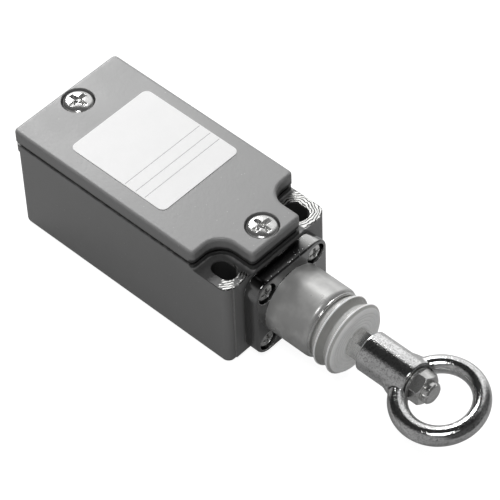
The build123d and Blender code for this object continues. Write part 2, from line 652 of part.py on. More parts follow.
def make_terminal(seat, inward, side):
    """Bent strip: upright with a rivet in the chamber, flat plate under the screw.

    seat is the face that carries the rivet, and inward is the way that face looks.
    """
    low = AXIS_Z - BRIDGE_HEIGHT / 2
    back = seat - inward * STRIP_THICKNESS
    x0, x1 = min(seat, back), max(seat, back)
    y0 = side * TERMINAL_Y - STRIP_WIDTH / 2
    top = BLOCK_TOP_Z + STRIP_THICKNESS
    strip = block(x0, x1, y0, y0 + STRIP_WIDTH, low, top)
    plate_rear = x1 - PLATE_LENGTH
    strip += block(plate_rear, x1, y0, y0 + STRIP_WIDTH, BLOCK_TOP_Z, top)
    tip = seat + inward * CONTACT_THICKNESS
    strip += rod_x(min(seat, tip), max(seat, tip), CONTACT_R, y=side * CONTACT_Y)
    hole_x = plate_rear + PLATE_LENGTH / 2
    return strip - rod_z(BLOCK_TOP_Z - THROUGH, top + THROUGH, TERMINAL_SCREW_R, hole_x, side * TERMINAL_Y)


def make_nc_terminals():
    return [make_terminal(NC_SEAT_X, 1, side) for side in (-1, 1)]


def make_no_terminals():
    return [make_terminal(NO_SEAT_X, -1, side) for side in (-1, 1)]


def terminal_places(height):
    """Places of the four terminal screws at a height."""
    return [(x, side * TERMINAL_Y, height) for x in TERMINAL_XS for side in (-1, 1)]


def clamp_plate(width):
    """Square plate under a terminal screw, width across Y."""
    plate = Pos(0, 0, CLAMP_PLATE / 2) * Box(CLAMP_SIZE, width, CLAMP_PLATE)
    plate = fillet(plate.edges().filter_by(Axis.Z), CLAMP_CORNER_R)
    return plate - Cylinder(TERMINAL_SCREW_R, 4 * CLAMP_PLATE)


def saddle_clamp():
    """Clamp plate whose sides are turned down beside the strip, to keep a wire in."""
    inner = STRIP_WIDTH / 2 + CLAMP_LIP_GAP
    outer = inner + CLAMP_LIP
    saddle = clamp_plate(2 * outer)
    for y0, y1 in ((-outer, -inner), (inner, outer)):
        half = CLAMP_SIZE / 2 - CLAMP_CORNER_R
        saddle += block(-half, half, y0, y1, -CLAMP_LIP, CLAMP_PLATE / 2)
    return saddle


def make_terminal_clamps():
    return [Pos(*place) * saddle_clamp() for place in terminal_places(BLOCK_TOP_Z + STRIP_THICKNESS)]


def make_terminal_screws():
    length = TERMINAL_SEAT_Z - TERMINAL_SCREW_END
    screw = pan_screw(TERMINAL_HEAD_R, TERMINAL_HEAD_H, TERMINAL_SCREW_R, length)
    return [Pos(*place) * screw for place in terminal_places(TERMINAL_SEAT_Z)]


def make_block_screws():
    length = BLOCK_TOP_Z - BLOCK_BASE_Z + BLOCK_SCREW_BITE
    screw = pan_screw(BLOCK_SCREW_HEAD_R, BLOCK_SCREW_HEAD_H, BLOCK_SCREW_R, length)
    return [Pos(BLOCK_SCREW_X, side * BLOCK_SCREW_Y, BLOCK_TOP_Z) * screw for side in (-1, 1)]


def make_earth_screw():
    screw = pan_screw(TERMINAL_HEAD_R, TERMINAL_HEAD_H, TERMINAL_SCREW_R, EARTH_BITE + CLAMP_PLATE)
    return Pos(EARTH_X, EARTH_Y, EARTH_BOSS_TOP + CLAMP_PLATE) * screw


def make_earth_clamp():
    return Pos(EARTH_X, EARTH_Y, EARTH_BOSS_TOP) * clamp_plate(CLAMP_SIZE)


def make_carrier():
    """Sliding bar with a window for each bridge and a fork that takes the rod's button."""
    half_w = CARRIER_WIDTH / 2
    half_h = CARRIER_HEIGHT / 2
    fork_end = TAIL_X - SLIDE_CLEARANCE
    bar = block(CARRIER_REAR_X, fork_end, -half_w, half_w, AXIS_Z - half_h, AXIS_Z + half_h)
    opening = BRIDGE_HEIGHT / 2 + SLIDE_CLEARANCE
    for x0, x1 in (NC_WINDOW, NO_WINDOW):
        bar -= block(x0, x1, -half_w - THROUGH, half_w + THROUGH, AXIS_Z - opening, AXIS_Z + opening)
    pocket_rear = BUTTON_X - SLIDE_CLEARANCE
    slot_half = ROD_TAIL_R - CARRIER_SNAP_LIP
    open_z = AXIS_Z + half_h + THROUGH
    front = fork_end + THROUGH
    bar -= block(pocket_rear, NECK_X, -slot_half, slot_half, AXIS_Z, open_z)
    bar -= rod_x(pocket_rear, NECK_X, ROD_TAIL_R)
    bar -= block(NECK_X - THROUGH, front, -ROD_NECK_R, ROD_NECK_R, AXIS_Z, open_z)
    return bar - rod_x(NECK_X - THROUGH, front, ROD_NECK_R)


def make_bridge(rear, outward):
    """Contact bridge: a strip across the carrier with a rivet near each end."""
    front = rear + BRIDGE_THICKNESS
    low = AXIS_Z - BRIDGE_HEIGHT / 2
    strip = block(rear, front, -BRIDGE_HALF, BRIDGE_HALF, low, low + BRIDGE_HEIGHT)
    face = front if outward > 0 else rear
    tip = face + outward * CONTACT_THICKNESS
    for side in (-1, 1):
        strip += rod_x(min(face, tip), max(face, tip), CONTACT_R, y=side * CONTACT_Y)
    return strip


def make_contact_springs():
    wire_r = CONTACT_SPRING_WIRE / 2
    spans = ((NC_BRIDGE_X + BRIDGE_THICKNESS, NC_WINDOW[1]), (NO_WINDOW[0], NO_BRIDGE_X))
    return [spring(x0, x1, CONTACT_SPRING_R, wire_r, CONTACT_SPRING_TURNS) for x0, x1 in spans]


PIECES = {
    "housing": make_housing(),
    "cover_gasket": make_cover_gasket(),
    "cover": make_cover(),
    "cover_screws": make_cover_screws(),
    "label": make_label(),
    "pull_head": make_head(),
    "head_gasket": make_head_gasket(),
    "head_screws": make_head_screws(),
    "guide_bush": make_guide_bush(),
    "bellows_clamp_ring": make_clamp_ring(),
    "bellows": make_bellows(),
    "return_spring": make_return_spring(),
    "contact_block_base": make_block_base(),
    "contact_block_lid": make_block_lid(),
    "nc_terminals": make_nc_terminals(),
    "no_terminals": make_no_terminals(),
    "terminal_clamps": make_terminal_clamps(),
    "terminal_screws": make_terminal_screws(),
    "block_screws": make_block_screws(),
    "earth_clamp": make_earth_clamp(),
    "earth_screw": make_earth_screw(),
    "pull_rod": make_pull_rod(),
    "spring_collar": make_spring_collar(),
    "retaining_clip": make_clip(),
    "contact_carrier": make_carrier(),
    "nc_bridge": make_bridge(NC_BRIDGE_X, -1),
    "no_bridge": make_bridge(NO_BRIDGE_X, 1),
    "contact_springs": make_contact_springs(),
    "eye_washer": make_washer(),
    "eye_nut": make_nut(),
    "ring_eye": make_ring_eye(),
}

for name, piece in PIECES.items():
    shape = Compound(children=list(piece)) if isinstance(piece, list) else piece
    export_step(shape, f"parts/{name}.step")
    print(name, round(sum(s.volume for s in shape.solids()), 1))
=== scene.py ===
"""Looks of a rope pull switch: painted metal box, plated pull head, silicone bellows and chrome eye.

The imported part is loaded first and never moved. Everything below dresses its nodes or stands in for
them, in metres, in the same frame: +X is the way the eye is pulled, +Z points out of the cover.
"""

import logging
import math
from dataclasses import dataclass, field
from enum import Enum
from typing import Any, Sequence

import bmesh
import bpy
from mathutils import Matrix, Vector


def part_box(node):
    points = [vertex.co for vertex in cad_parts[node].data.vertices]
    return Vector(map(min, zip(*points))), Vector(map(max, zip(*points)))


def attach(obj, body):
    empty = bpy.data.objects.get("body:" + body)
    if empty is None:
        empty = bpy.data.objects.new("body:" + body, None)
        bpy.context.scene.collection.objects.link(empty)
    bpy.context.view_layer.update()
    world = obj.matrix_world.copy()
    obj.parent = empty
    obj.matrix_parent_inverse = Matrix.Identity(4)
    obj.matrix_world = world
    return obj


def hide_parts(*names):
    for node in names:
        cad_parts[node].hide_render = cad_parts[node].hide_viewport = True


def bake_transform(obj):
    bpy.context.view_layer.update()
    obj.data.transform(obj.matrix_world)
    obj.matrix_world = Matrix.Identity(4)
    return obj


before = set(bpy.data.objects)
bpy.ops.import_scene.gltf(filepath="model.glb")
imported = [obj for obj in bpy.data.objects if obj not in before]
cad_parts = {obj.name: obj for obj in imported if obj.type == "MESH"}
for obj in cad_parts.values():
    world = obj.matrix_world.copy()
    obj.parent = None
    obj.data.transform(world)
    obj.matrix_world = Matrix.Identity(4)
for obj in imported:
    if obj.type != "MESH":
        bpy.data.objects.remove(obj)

LOG = logging.getLogger("rope_pull_switch")
MM = 0.001
WELD = 1e-7
MIX_COLOURS = (6, 7)
MIX_RESULT = 2
BARREL_LENGTH = 11.5 * MM
FIRST_CREST = 2.2 * MM
SECOND_CREST = 5.6 * MM

Point = tuple[float, float, float]
Colour = tuple[float, float, float]
Bump = tuple[float, float, float]
Span = tuple[float, float]
Steps = tuple[Span, ...]
Socket = bpy.types.NodeSocket
SocketList = dict[str, tuple[str, Any]]


class Body(Enum):
    """Moving groups of the part, by the names that the record gives them."""

    CASE = "case"
    SLIDE = "pull_slide"
    EYE = "pull_eye"


class Way(Enum):
    """Direction in which a pattern of screws or a coil faces."""

    UP = (0.0, 0.0, 0.0)
    FORWARD = (0.0, math.pi / 2, 0.0)


class Nodes:
    """Short-hand for filling a node tree."""

    def __init__(self, tree: bpy.types.NodeTree) -> None:
        """Keep the tree that the nodes go into."""
        self.tree = tree

    def add(self, kind: str, inputs: dict[Any, Any] | None = None, **settings: Any) -> bpy.types.Node:
        """Add one node, with its inputs set or linked.

        Args:
            kind: Blender's name of the node type.
            inputs: values or output sockets, by input name or index.
            settings: plain properties of the node.

        Returns:
            The new node.
        """
        made = self.tree.nodes.new(kind)
        for key, value in settings.items():
            setattr(made, key, value)
        for key, value in (inputs or {}).items():
            self.feed(made.inputs[key], value)
        return made

    def link(self, source: Socket, target: Socket) -> None:
        """Join an output socket to an input socket."""
        self.tree.links.new(source, target)

    def feed(self, target: Socket, value: Any) -> None:
        """Link an input socket, or set its plain value.

        Args:
            target: the input socket.
            value: an output socket or a plain value.
        """
        if isinstance(value, Socket):
            self.link(value, target)
        else:
            target.default_value = value

    def group(self, tree: bpy.types.NodeTree, **inputs: Any) -> Any:
        """Place a shader group with its named inputs, and give its outputs."""
        return self.add("ShaderNodeGroup", inputs, node_tree=tree).outputs

    def axes(self, where: Any) -> Any:
        """Split a vector into the sockets of its x, y and z."""
        return self.add("ShaderNodeSeparateXYZ", {0: where}).outputs

    def vector(self, x: Any, y: Any, z: Any) -> Socket:
        """Join three numbers or sockets into a vector."""
        return self.add("ShaderNodeCombineXYZ", {0: x, 1: y, 2: z}).outputs[0]

    def math(self, how: str, first: Any, second: Any = 0.0, clamp: bool = False) -> Socket:
        """Add a Math node.

        Args:
            how: the operation.
            first: a number or a socket.
            second: a number or a socket.
            clamp: whether the result is kept from 0 to 1.

        Returns:
            The result's socket.
        """
        return self.add("ShaderNodeMath", {0: first, 1: second}, operation=how, use_clamp=clamp).outputs[0]

    def plus(self, first: Any, second: Any) -> Socket:
        """Add two numbers or sockets."""
        return self.math("ADD", first, second)

    def minus(self, first: Any, second: Any) -> Socket:
        """Take the second number or socket from the first."""
        return self.math("SUBTRACT", first, second)

    def times(self, first: Any, second: Any) -> Socket:
        """Multiply two numbers or sockets."""
        return self.math("MULTIPLY", first, second)

    def over(self, first: Any, second: Any) -> Socket:
        """Divide the first number or socket by the second."""
        return self.math("DIVIDE", first, second)

    def least(self, first: Any, second: Any) -> Socket:
        """Take the smaller of two numbers or sockets."""
        return self.math("MINIMUM", first, second)

    def most(self, first: Any, second: Any) -> Socket:
        """Take the larger of two numbers or sockets."""
        return self.math("MAXIMUM", first, second)

    def away(self, value: Any, centre: Any) -> Socket:
        """Distance of a socket's value from a centre, without its sign."""
        return self.math("ABSOLUTE", self.minus(value, centre))

    def hypotenuse(self, first: Any, second: Any) -> Socket:
        """Length of a vector with two sides."""
        sides = self.vector(first, second, 0.0)
        return self.add("ShaderNodeVectorMath", {0: sides}, operation="LENGTH").outputs["Value"]

    def ramp(self, value: Any, low: Any, high: Any, to_low: Any = 0.0, to_high: Any = 1.0) -> Socket:
        """Map a value smoothly from one span to another.

        Args:
            value: the socket to map.
            low: where the span starts.
            high: where the span ends.
            to_low: result at the start.
            to_high: result at the end.

        Returns:
            The result's socket.
        """
        inputs = {"Value": value, "From Min": low, "From Max": high, "To Min": to_low, "To Max": to_high}
        return self.add("ShaderNodeMapRange", inputs, interpolation_type="SMOOTHSTEP").outputs["Result"]

    def blend(self, share: Any, first: Any, second: Any) -> Socket:
        """Mix two colours.

        Args:
            share: how much of the second colour shows.
            first: colour at 0.
            second: colour at 1.

        Returns:
            The mixed colour's socket.
        """
        made = self.add("ShaderNodeMix", {0: share}, data_type="RGBA")
        for index, value in zip(MIX_COLOURS, (first, second)):
            self.feed(made.inputs[index], value if isinstance(value, Socket) else (*value, 1.0))
        return made.outputs[MIX_RESULT]

    def noise(self, where: Any, scale: Any, detail: float = 2.0, rough: float = 0.5) -> Socket:
        """Add a noise texture.

        Args:
            where: the coordinate socket.
            scale: cells for each metre.
            detail: number of octaves.
            rough: strength of the finer octaves.

        Returns:
            The noise value, from 0 to 1.
        """
        inputs = {"Vector": where, "Scale": scale, "Detail": detail, "Roughness": rough}
        return self.add("ShaderNodeTexNoise", inputs).outputs[0]


def shader_group(name: str, inputs: SocketList, outputs: dict[str, str]) -> tuple[Nodes, Any, Any]:
    """Start a shader node group with named sockets.

    Args:
        name: the group's name.
        inputs: socket type and default value, by name.
        outputs: socket type, by name.

    Returns:
        The group's node writer, the outputs of its input node and the inputs of its output node.
    """
    tree = bpy.data.node_groups.new(name, "ShaderNodeTree")
    for label, (kind, value) in inputs.items():
        socket = tree.interface.new_socket(name=label, in_out="INPUT", socket_type=kind)
        if value is not None:
            socket.default_value = value
    for label, kind in outputs.items():
        tree.interface.new_socket(name=label, in_out="OUTPUT", socket_type=kind)
    write = Nodes(tree)
    return write, write.add("NodeGroupInput").outputs, write.add("NodeGroupOutput").inputs


class Effects:
    """Shader effects that several finishes share, each built once."""

    coarse_share: float = 0.06
    fine_times: float = 9.0
    bevel_samples: int = 4
    edge_cosine: Span = (0.995, 0.9)
    ragged_noise: Span = (0.42, 0.62)
    speck_radius: Span = (0.32, 0.16)

    def __init__(self) -> None:
        """Build every group."""
        self.peel = self._peel()
        self.wear = self._wear_and_highlight()
        self.specks = self._specks()
        self.clouds = self._clouds()
        self.soft_edges = self._soft_edges()

    def _peel(self) -> bpy.types.NodeTree:
        """Orange peel of sprayed paint: its height and a slow change of tone.

        Returns:
            The group.
        """
        write, given, result = shader_group(
            "Orange peel",
            {"Vector": ("NodeSocketVector", None), "Scale": ("NodeSocketFloat", 1500.0)},
            {"Height": "NodeSocketFloat", "Tone": "NodeSocketFloat"},
        )
        coarse = write.times(given["Scale"], self.coarse_share)
        write.link(write.noise(given["Vector"], given["Scale"], rough=0.45), result["Height"])
        write.link(write.noise(given["Vector"], coarse, detail=3.0), result["Tone"])
        return write.tree

    def _wear_and_highlight(self) -> bpy.types.NodeTree:
        """Edge mask from the bend of the surface, broken up by noise, for worn edges that are also painted
        bright as a highlight.

        Returns:
            The group.
        """
        write, given, result = shader_group(
            "Edge wear and highlight",
            {
                "Vector": ("NodeSocketVector", None),
                "Width": ("NodeSocketFloat", 0.4 * MM),
                "Scale": ("NodeSocketFloat", 900.0),
                "Amount": ("NodeSocketFloat", 0.5),
            },
            {"Mask": "NodeSocketFloat"},
        )
        bevel = write.add("ShaderNodeBevel", {"Radius": given["Width"]}, samples=self.bevel_samples)
        sides = {0: bevel.outputs[0], 1: write.add("ShaderNodeNewGeometry").outputs["Normal"]}
        turn = write.add("ShaderNodeVectorMath", sides, operation="DOT_PRODUCT").outputs["Value"]
        edge = write.ramp(turn, *self.edge_cosine)
        noise = write.noise(given["Vector"], given["Scale"], detail=4.0, rough=0.6)
        ragged = write.ramp(noise, *self.ragged_noise)
        mask = write.math("MULTIPLY", write.times(edge, ragged), given["Amount"], clamp=True)
        write.link(mask, result["Mask"])
        return write.tree

    def _specks(self) -> bpy.types.NodeTree:
        """Small scattered specks, as of dust or pits.

        Returns:
            The group.
        """
        write, given, result = shader_group(
            "Specks",
            {
                "Vector": ("NodeSocketVector", None),
                "Scale": ("NodeSocketFloat", 1500.0),
                "Share": ("NodeSocketFloat", 0.1),
            },
            {"Mask": "NodeSocketFloat"},
        )
        where = {"Vector": given["Vector"], "Scale": given["Scale"]}
        cells = write.add("ShaderNodeTexVoronoi", where).outputs
        chance = write.add("ShaderNodeTexWhiteNoise", {"Vector": cells["Position"]}).outputs["Value"]
        picked = write.math("LESS_THAN", chance, given["Share"])
        dot = write.ramp(cells["Distance"], *self.speck_radius)
        write.link(write.times(picked, dot), result["Mask"])
        return write.tree

    def _clouds(self) -> bpy.types.NodeTree:
        """Soft patches at two sizes, for plating and moulded parts.

        Returns:
            The group.
        """
        write, given, result = shader_group(
            "Clouds",
            {"Vector": ("NodeSocketVector", None), "Scale": ("NodeSocketFloat", 300.0)},
            {"Broad": "NodeSocketFloat", "Fine": "NodeSocketFloat"},
        )
        fine = write.times(given["Scale"], self.fine_times)
        broad = write.noise(given["Vector"], given["Scale"], detail=3.0, rough=0.55)
        write.link(broad, result["Broad"])
        write.link(write.noise(given["Vector"], fine, detail=3.0, rough=0.6), result["Fine"])
        return write.tree

    def _soft_edges(self) -> bpy.types.NodeTree:
        """Shading normal that rounds sharp edges a little, so that they catch the light.

        Returns:
            The group.
        """
        write, given, result = shader_group(
            "Soft edges", {"Radius": ("NodeSocketFloat", 0.15 * MM)}, {"Normal": "NodeSocketVector"}
        )
        bevel = write.add("ShaderNodeBevel", {"Radius": given["Radius"]}, samples=self.bevel_samples)
        write.link(bevel.outputs[0], result["Normal"])
        return write.tree


@dataclass(frozen=True)
class Finish:
    """Common start of every finish: a named material with one Principled shader."""

    name: str

    def start(self) -> tuple[bpy.types.Material, Nodes, bpy.types.Node, Socket]:
        """Make the empty material.

        Returns:
            The material, its node writer, its Principled shader and the Object coordinates.
        """
        material = bpy.data.materials.new(self.name)
        material.use_nodes = True
        write = Nodes(material.node_tree)
        shader = material.node_tree.nodes["Principled BSDF"]
        return material, write, shader, write.add("ShaderNodeTexCoord").outputs["Object"]

    @staticmethod
    def relief(write: Nodes, effects: Effects, shader: Any, height: Any, bump: Bump) -> None:
        """Give the shader a bump over softened edges.

        Args:
            write: the material's node writer.
            effects: the shared groups.
            shader: the Principled shader.
            height: socket of the relief, from 0 to 1.
            bump: strength of the bump, height of the relief and radius of the softened edges.
        """
        strength, depth, edge = bump
        raised = write.add("ShaderNodeBump", {"Strength": strength, "Distance": depth, "Height": height})
        write.link(write.group(effects.soft_edges, Radius=edge)["Normal"], raised.inputs["Normal"])
        write.link(raised.outputs["Normal"], shader.inputs["Normal"])


@dataclass(frozen=True)
class EarWearAndShade:
    """Scraped metal round the slots of the two mounting ears, with painted shade on the ear tops and on the
    walls inside the slots.
    """

    rear_x: float = -4.4 * MM
    inner_y: float = 8.4 * MM
    top_z: float = 23.5 * MM
    rear_fade: float = 0.6 * MM
    inner_fade: float = 0.5 * MM
    top_fade: float = 0.3 * MM
    scrape_scale: float = 420.0
    middle_y: Span = (-1.0 * MM, 1.0 * MM)
    painted_left_right: Span = (0.60, 0.30)
    length_x: Span = (-3.0 * MM, 3.5 * MM)
    painted_rear_front: Span = (0.06, -0.12)
    raggedness: float = 0.03
    slot_x: float = -0.4 * MM
    slot_y: float = 11.05 * MM
    slot_straight: float = 1.0 * MM
    slot_radius: float = 2.25 * MM
    slot_fade: float = 0.2 * MM
    slot_shade_share: float = 0.9
    slot_tone: Colour = (0.02, 0.02, 0.02)
    groove_pitch: float = 0.62 * MM
    groove_wobble: float = 1.6 * MM
    groove_edge: Span = (-0.75, 0.35)
    groove_tone: Colour = (0.06, 0.06, 0.06)
    ridge_tone: Colour = (0.50, 0.50, 0.49)
    ear_top_shade_width: float = 1.2 * MM
    ear_top_shade_share: float = 0.72
    flank_tone: Colour = (0.04, 0.04, 0.04)
    steel_rough: float = 0.36

    def ear_top_shade_mask(self, write: Nodes, where: Any) -> Socket:
        """Mask of painted shade on the ear tops, ahead of the ears' rear edge.

        Args:
            write: the material's node writer.
            where: the Object coordinates.

        Returns:
            The mask's socket.
        """
        axis = write.axes(where)
        side = write.math("ABSOLUTE", axis[1])
        shade = write.ramp(side, self.inner_y - self.ear_top_shade_width, self.inner_y, 0.0, self.ear_top_shade_share)
        level = write.ramp(axis[2], self.top_z, self.top_z + self.top_fade)
        ahead = write.ramp(axis[0], self.rear_x - self.rear_fade, self.rear_x)
        return write.times(write.times(shade, level), ahead)

    def bare_mask(self, write: Nodes, where: Any) -> Socket:
        """Mask of the scraped tops: all of the right ear, and the outer front of the left one.

        Args:
            write: the material's node writer.
            where: the Object coordinates.

        Returns:
            The mask's socket.
        """
        axis = write.axes(where)
        side = write.math("ABSOLUTE", axis[1])
        top = write.ramp(axis[2], self.top_z, self.top_z + self.top_fade)
        beyond = write.times(write.ramp(side, self.inner_y, self.inner_y + self.inner_fade), top)
        front = write.times(write.ramp(axis[0], self.rear_x, self.rear_x + self.rear_fade), beyond)
        ragged = write.noise(where, self.scrape_scale, detail=5.0, rough=0.62)
        across = write.ramp(axis[1], *self.middle_y, *self.painted_left_right)
        along = write.ramp(axis[0], *self.length_x, *self.painted_rear_front)
        past = write.minus(ragged, write.plus(across, along))
        worn = write.ramp(past, -self.raggedness, self.raggedness)
        return write.math("MULTIPLY", worn, front, clamp=True)

    def grooves(self, write: Nodes, where: Any) -> Socket:
        """Wavy rings that the washers of the mounting screws have scraped round the slots.

        Args:
            write: the material's node writer.
            where: the Object coordinates.

        Returns:
            The rings' socket, from 0 in a groove to 1 on a ridge.
        """
        axis = write.axes(where)
        ahead = write.minus(axis[0], self.slot_x)
        aside = write.minus(write.math("ABSOLUTE", axis[1]), self.slot_y)
        wobble = write.times(write.noise(where, self.scrape_scale), self.groove_wobble)
        radius = write.plus(write.hypotenuse(ahead, aside), wobble)
        turn = write.times(radius, 2.0 * math.pi / self.groove_pitch)
        return write.ramp(write.math("SINE", turn), *self.groove_edge)

    def slot_shade_mask(self, write: Nodes, where: Any) -> Socket:
        """Mask of painted shade on the walls inside the slots.

        Args:
            write: the material's node writer.
            where: the Object coordinates.

        Returns:
            The mask's socket.
        """
        axis = write.axes(where)
        past = write.most(write.minus(write.away(axis[0], self.slot_x), self.slot_straight), 0.0)
        aside = write.minus(write.math("ABSOLUTE", axis[1]), self.slot_y)
        inside = write.math("LESS_THAN", write.hypotenuse(past, aside), self.slot_radius)
        lit = self.top_z + self.top_fade
        below = write.ramp(axis[2], lit, self.top_z - self.slot_fade, 0.0, self.slot_shade_share)
        return write.times(inside, below)

    def scrape_and_shade(self, write: Nodes, where: Any, colour: Any, rough: Any) -> tuple[Socket, Socket, Socket]:
        """Lay the worn ears, with their painted shade, over a coat of paint.

        Args:
            write: the material's node writer.
            where: the Object coordinates.
            colour: colour of the paint.
            rough: roughness of the paint.

        Returns:
            The colour, the roughness and the metallic share.
        """
        bare = self.bare_mask(write, where)
        # Painted shade on the ear tops, under the scraped metal.
        colour = write.blend(self.ear_top_shade_mask(write, where), colour, self.flank_tone)
        steel = write.blend(self.grooves(write, where), self.groove_tone, self.ridge_tone)
        colour = write.blend(bare, colour, steel)
        # Painted shade on the walls inside the slots.
        colour = write.blend(self.slot_shade_mask(write, where), colour, self.slot_tone)
        return colour, write.ramp(bare, 0.0, 1.0, rough, self.steel_rough), bare


@dataclass(frozen=True)
class Enamel(Finish):
    """Grey oven enamel with fine orange peel, worn edges also painted bright as a highlight, a dark band
    along the joint and, on the housing, worn ears with painted shade.
    """

    tone: float = 0.34
    ears: EarWearAndShade | None = None
    dark_share: float = 0.90
    light_share: float = 1.08
    gloss_tone: Span = (0.3, 0.7)
    gloss_rough: Span = (0.30, 0.40)
    peel_scale: float = 1300.0
    speck_scale: float = 2200.0
    speck_share: float = 0.012
    speck_strength: float = 0.45
    speck_tone: Colour = (0.75, 0.75, 0.74)
    wear_and_highlight_width: float = 0.35 * MM
    wear_and_highlight_share: float = 0.5
    wear_tone: Colour = (0.52, 0.52, 0.51)
    joint_z: float = 25.35 * MM
    joint_front_x: Span = (-6.4 * MM, -5.4 * MM)
    joint_width: Span = (0.55 * MM, 1.25 * MM)
    joint_fade: float = 0.75 * MM
    joint_scale: float = 700.0
    joint_ragged: float = 0.6 * MM
    joint_share: float = 0.9
    joint_tone: Colour = (0.03, 0.03, 0.03)
    bump: Bump = (0.35, 0.05 * MM, 0.25 * MM)

    def joint_mask(self, write: Nodes, where: Any) -> Socket:
        """Mask of a dark band painted along the cover's joint, wider towards the front.

        Args:
            write: the material's node writer.
            where: the Object coordinates.

        Returns:
            The mask's socket.
        """
        axis = write.axes(where)
        away = write.away(axis[2], self.joint_z)
        ragged = write.times(write.noise(where, self.joint_scale, detail=3.0), self.joint_ragged)
        width = write.ramp(axis[0], *self.joint_front_x, *self.joint_width)
        beyond = write.minus(write.plus(away, ragged), width)
        return write.ramp(beyond, self.joint_fade, 0.0, 0.0, self.joint_share)

    def paint(self, effects: Effects) -> bpy.types.Material:
        """Build the material.

        Args:
            effects: the shared groups.

        Returns:
            The material.
        """
        material, write, shader, where = self.start()
        peel = write.group(effects.peel, Vector=where, Scale=self.peel_scale)
        specks = write.group(effects.specks, Vector=where, Scale=self.speck_scale, Share=self.speck_share)
        wear = write.group(effects.wear, Vector=where, Width=self.wear_and_highlight_width, Amount=self.wear_and_highlight_share)
        dark = (self.tone * self.dark_share,) * 3
        light = (self.tone * self.light_share,) * 3
        colour = write.blend(peel["Tone"], dark, light)
        colour = write.blend(write.times(specks["Mask"], self.speck_strength), colour, self.speck_tone)
        # Worn edges in a lighter grey, which also serve as a painted highlight along the cover's top edges.
        colour = write.blend(wear["Mask"], colour, self.wear_tone)
        # A dark band painted along the cover's joint.
        colour = write.blend(self.joint_mask(write, where), colour, self.joint_tone)
        rough = write.ramp(peel["Tone"], *self.gloss_tone, *self.gloss_rough)
        if self.ears is not None:
            colour, rough, metal = self.ears.scrape_and_shade(write, where, colour, rough)
            write.link(metal, shader.inputs["Metallic"])
        write.link(colour, shader.inputs["Base Color"])
        write.link(rough, shader.inputs["Roughness"])
        self.relief(write, effects, shader, peel["Height"], self.bump)
        return material


@dataclass(frozen=True)
class DarkFlange:
    """Darker, smoother metal behind one plane of the pull head, dusty along its upper front edge, with a
    painted shadow across its top that gives way to painted light at the +Y corner.
    """

    split_x: float
    split_fade: float = 0.02 * MM
    tone: Colour = (0.27, 0.27, 0.27)
    rough: float = 0.16
    metal: float = 1.0
    top_tone: Colour = (0.07, 0.07, 0.07)
    top_z: Span = (22.8 * MM, 23.3 * MM)
    light_pool_y: Span = (4.0 * MM, 9.5 * MM)
    dust_scale: float = 2400.0
    dust_lead: Span = (2.6 * MM, 0.3 * MM)
    dust_share: Span = (0.03, 0.30)
    dust_tone: Colour = (1.0, 1.0, 1.0)

    def ahead(self, write: Nodes, where: Any) -> Socket:
        """Mask of what lies ahead of the plane.

        Args:
            write: the material's node writer.
            where: the Object coordinates.

        Returns:
            The mask's socket.
        """
        x = write.axes(where)[0]
        return write.ramp(x, self.split_x - self.split_fade, self.split_x + self.split_fade)

    def colour(self, write: Nodes, effects: Effects, where: Any, lit: Colour) -> Socket:
        """Colour behind the plane, with the painted shadow and painted light on its top face.

        Args:
            write: the material's node writer.
            effects: the shared groups.
            where: the Object coordinates.
            lit: tone of the painted light at the top's +Y corner.

        Returns:
            The colour's socket.
        """
        axis = write.axes(where)
        top = write.ramp(axis[2], *self.top_z)
        light_pool = write.ramp(axis[1], *self.light_pool_y)
        # Painted shadow of the cover across the top face, turning to painted light towards the +Y corner.
        rear = write.blend(top, self.tone, write.blend(light_pool, self.top_tone, lit))
        start, end = (self.split_x - lead for lead in self.dust_lead)
        share = write.ramp(axis[0], start, end, *self.dust_share)
        dust = write.group(effects.specks, Vector=where, Scale=self.dust_scale, Share=share)["Mask"]
        return write.blend(write.times(dust, top), rear, self.dust_tone)


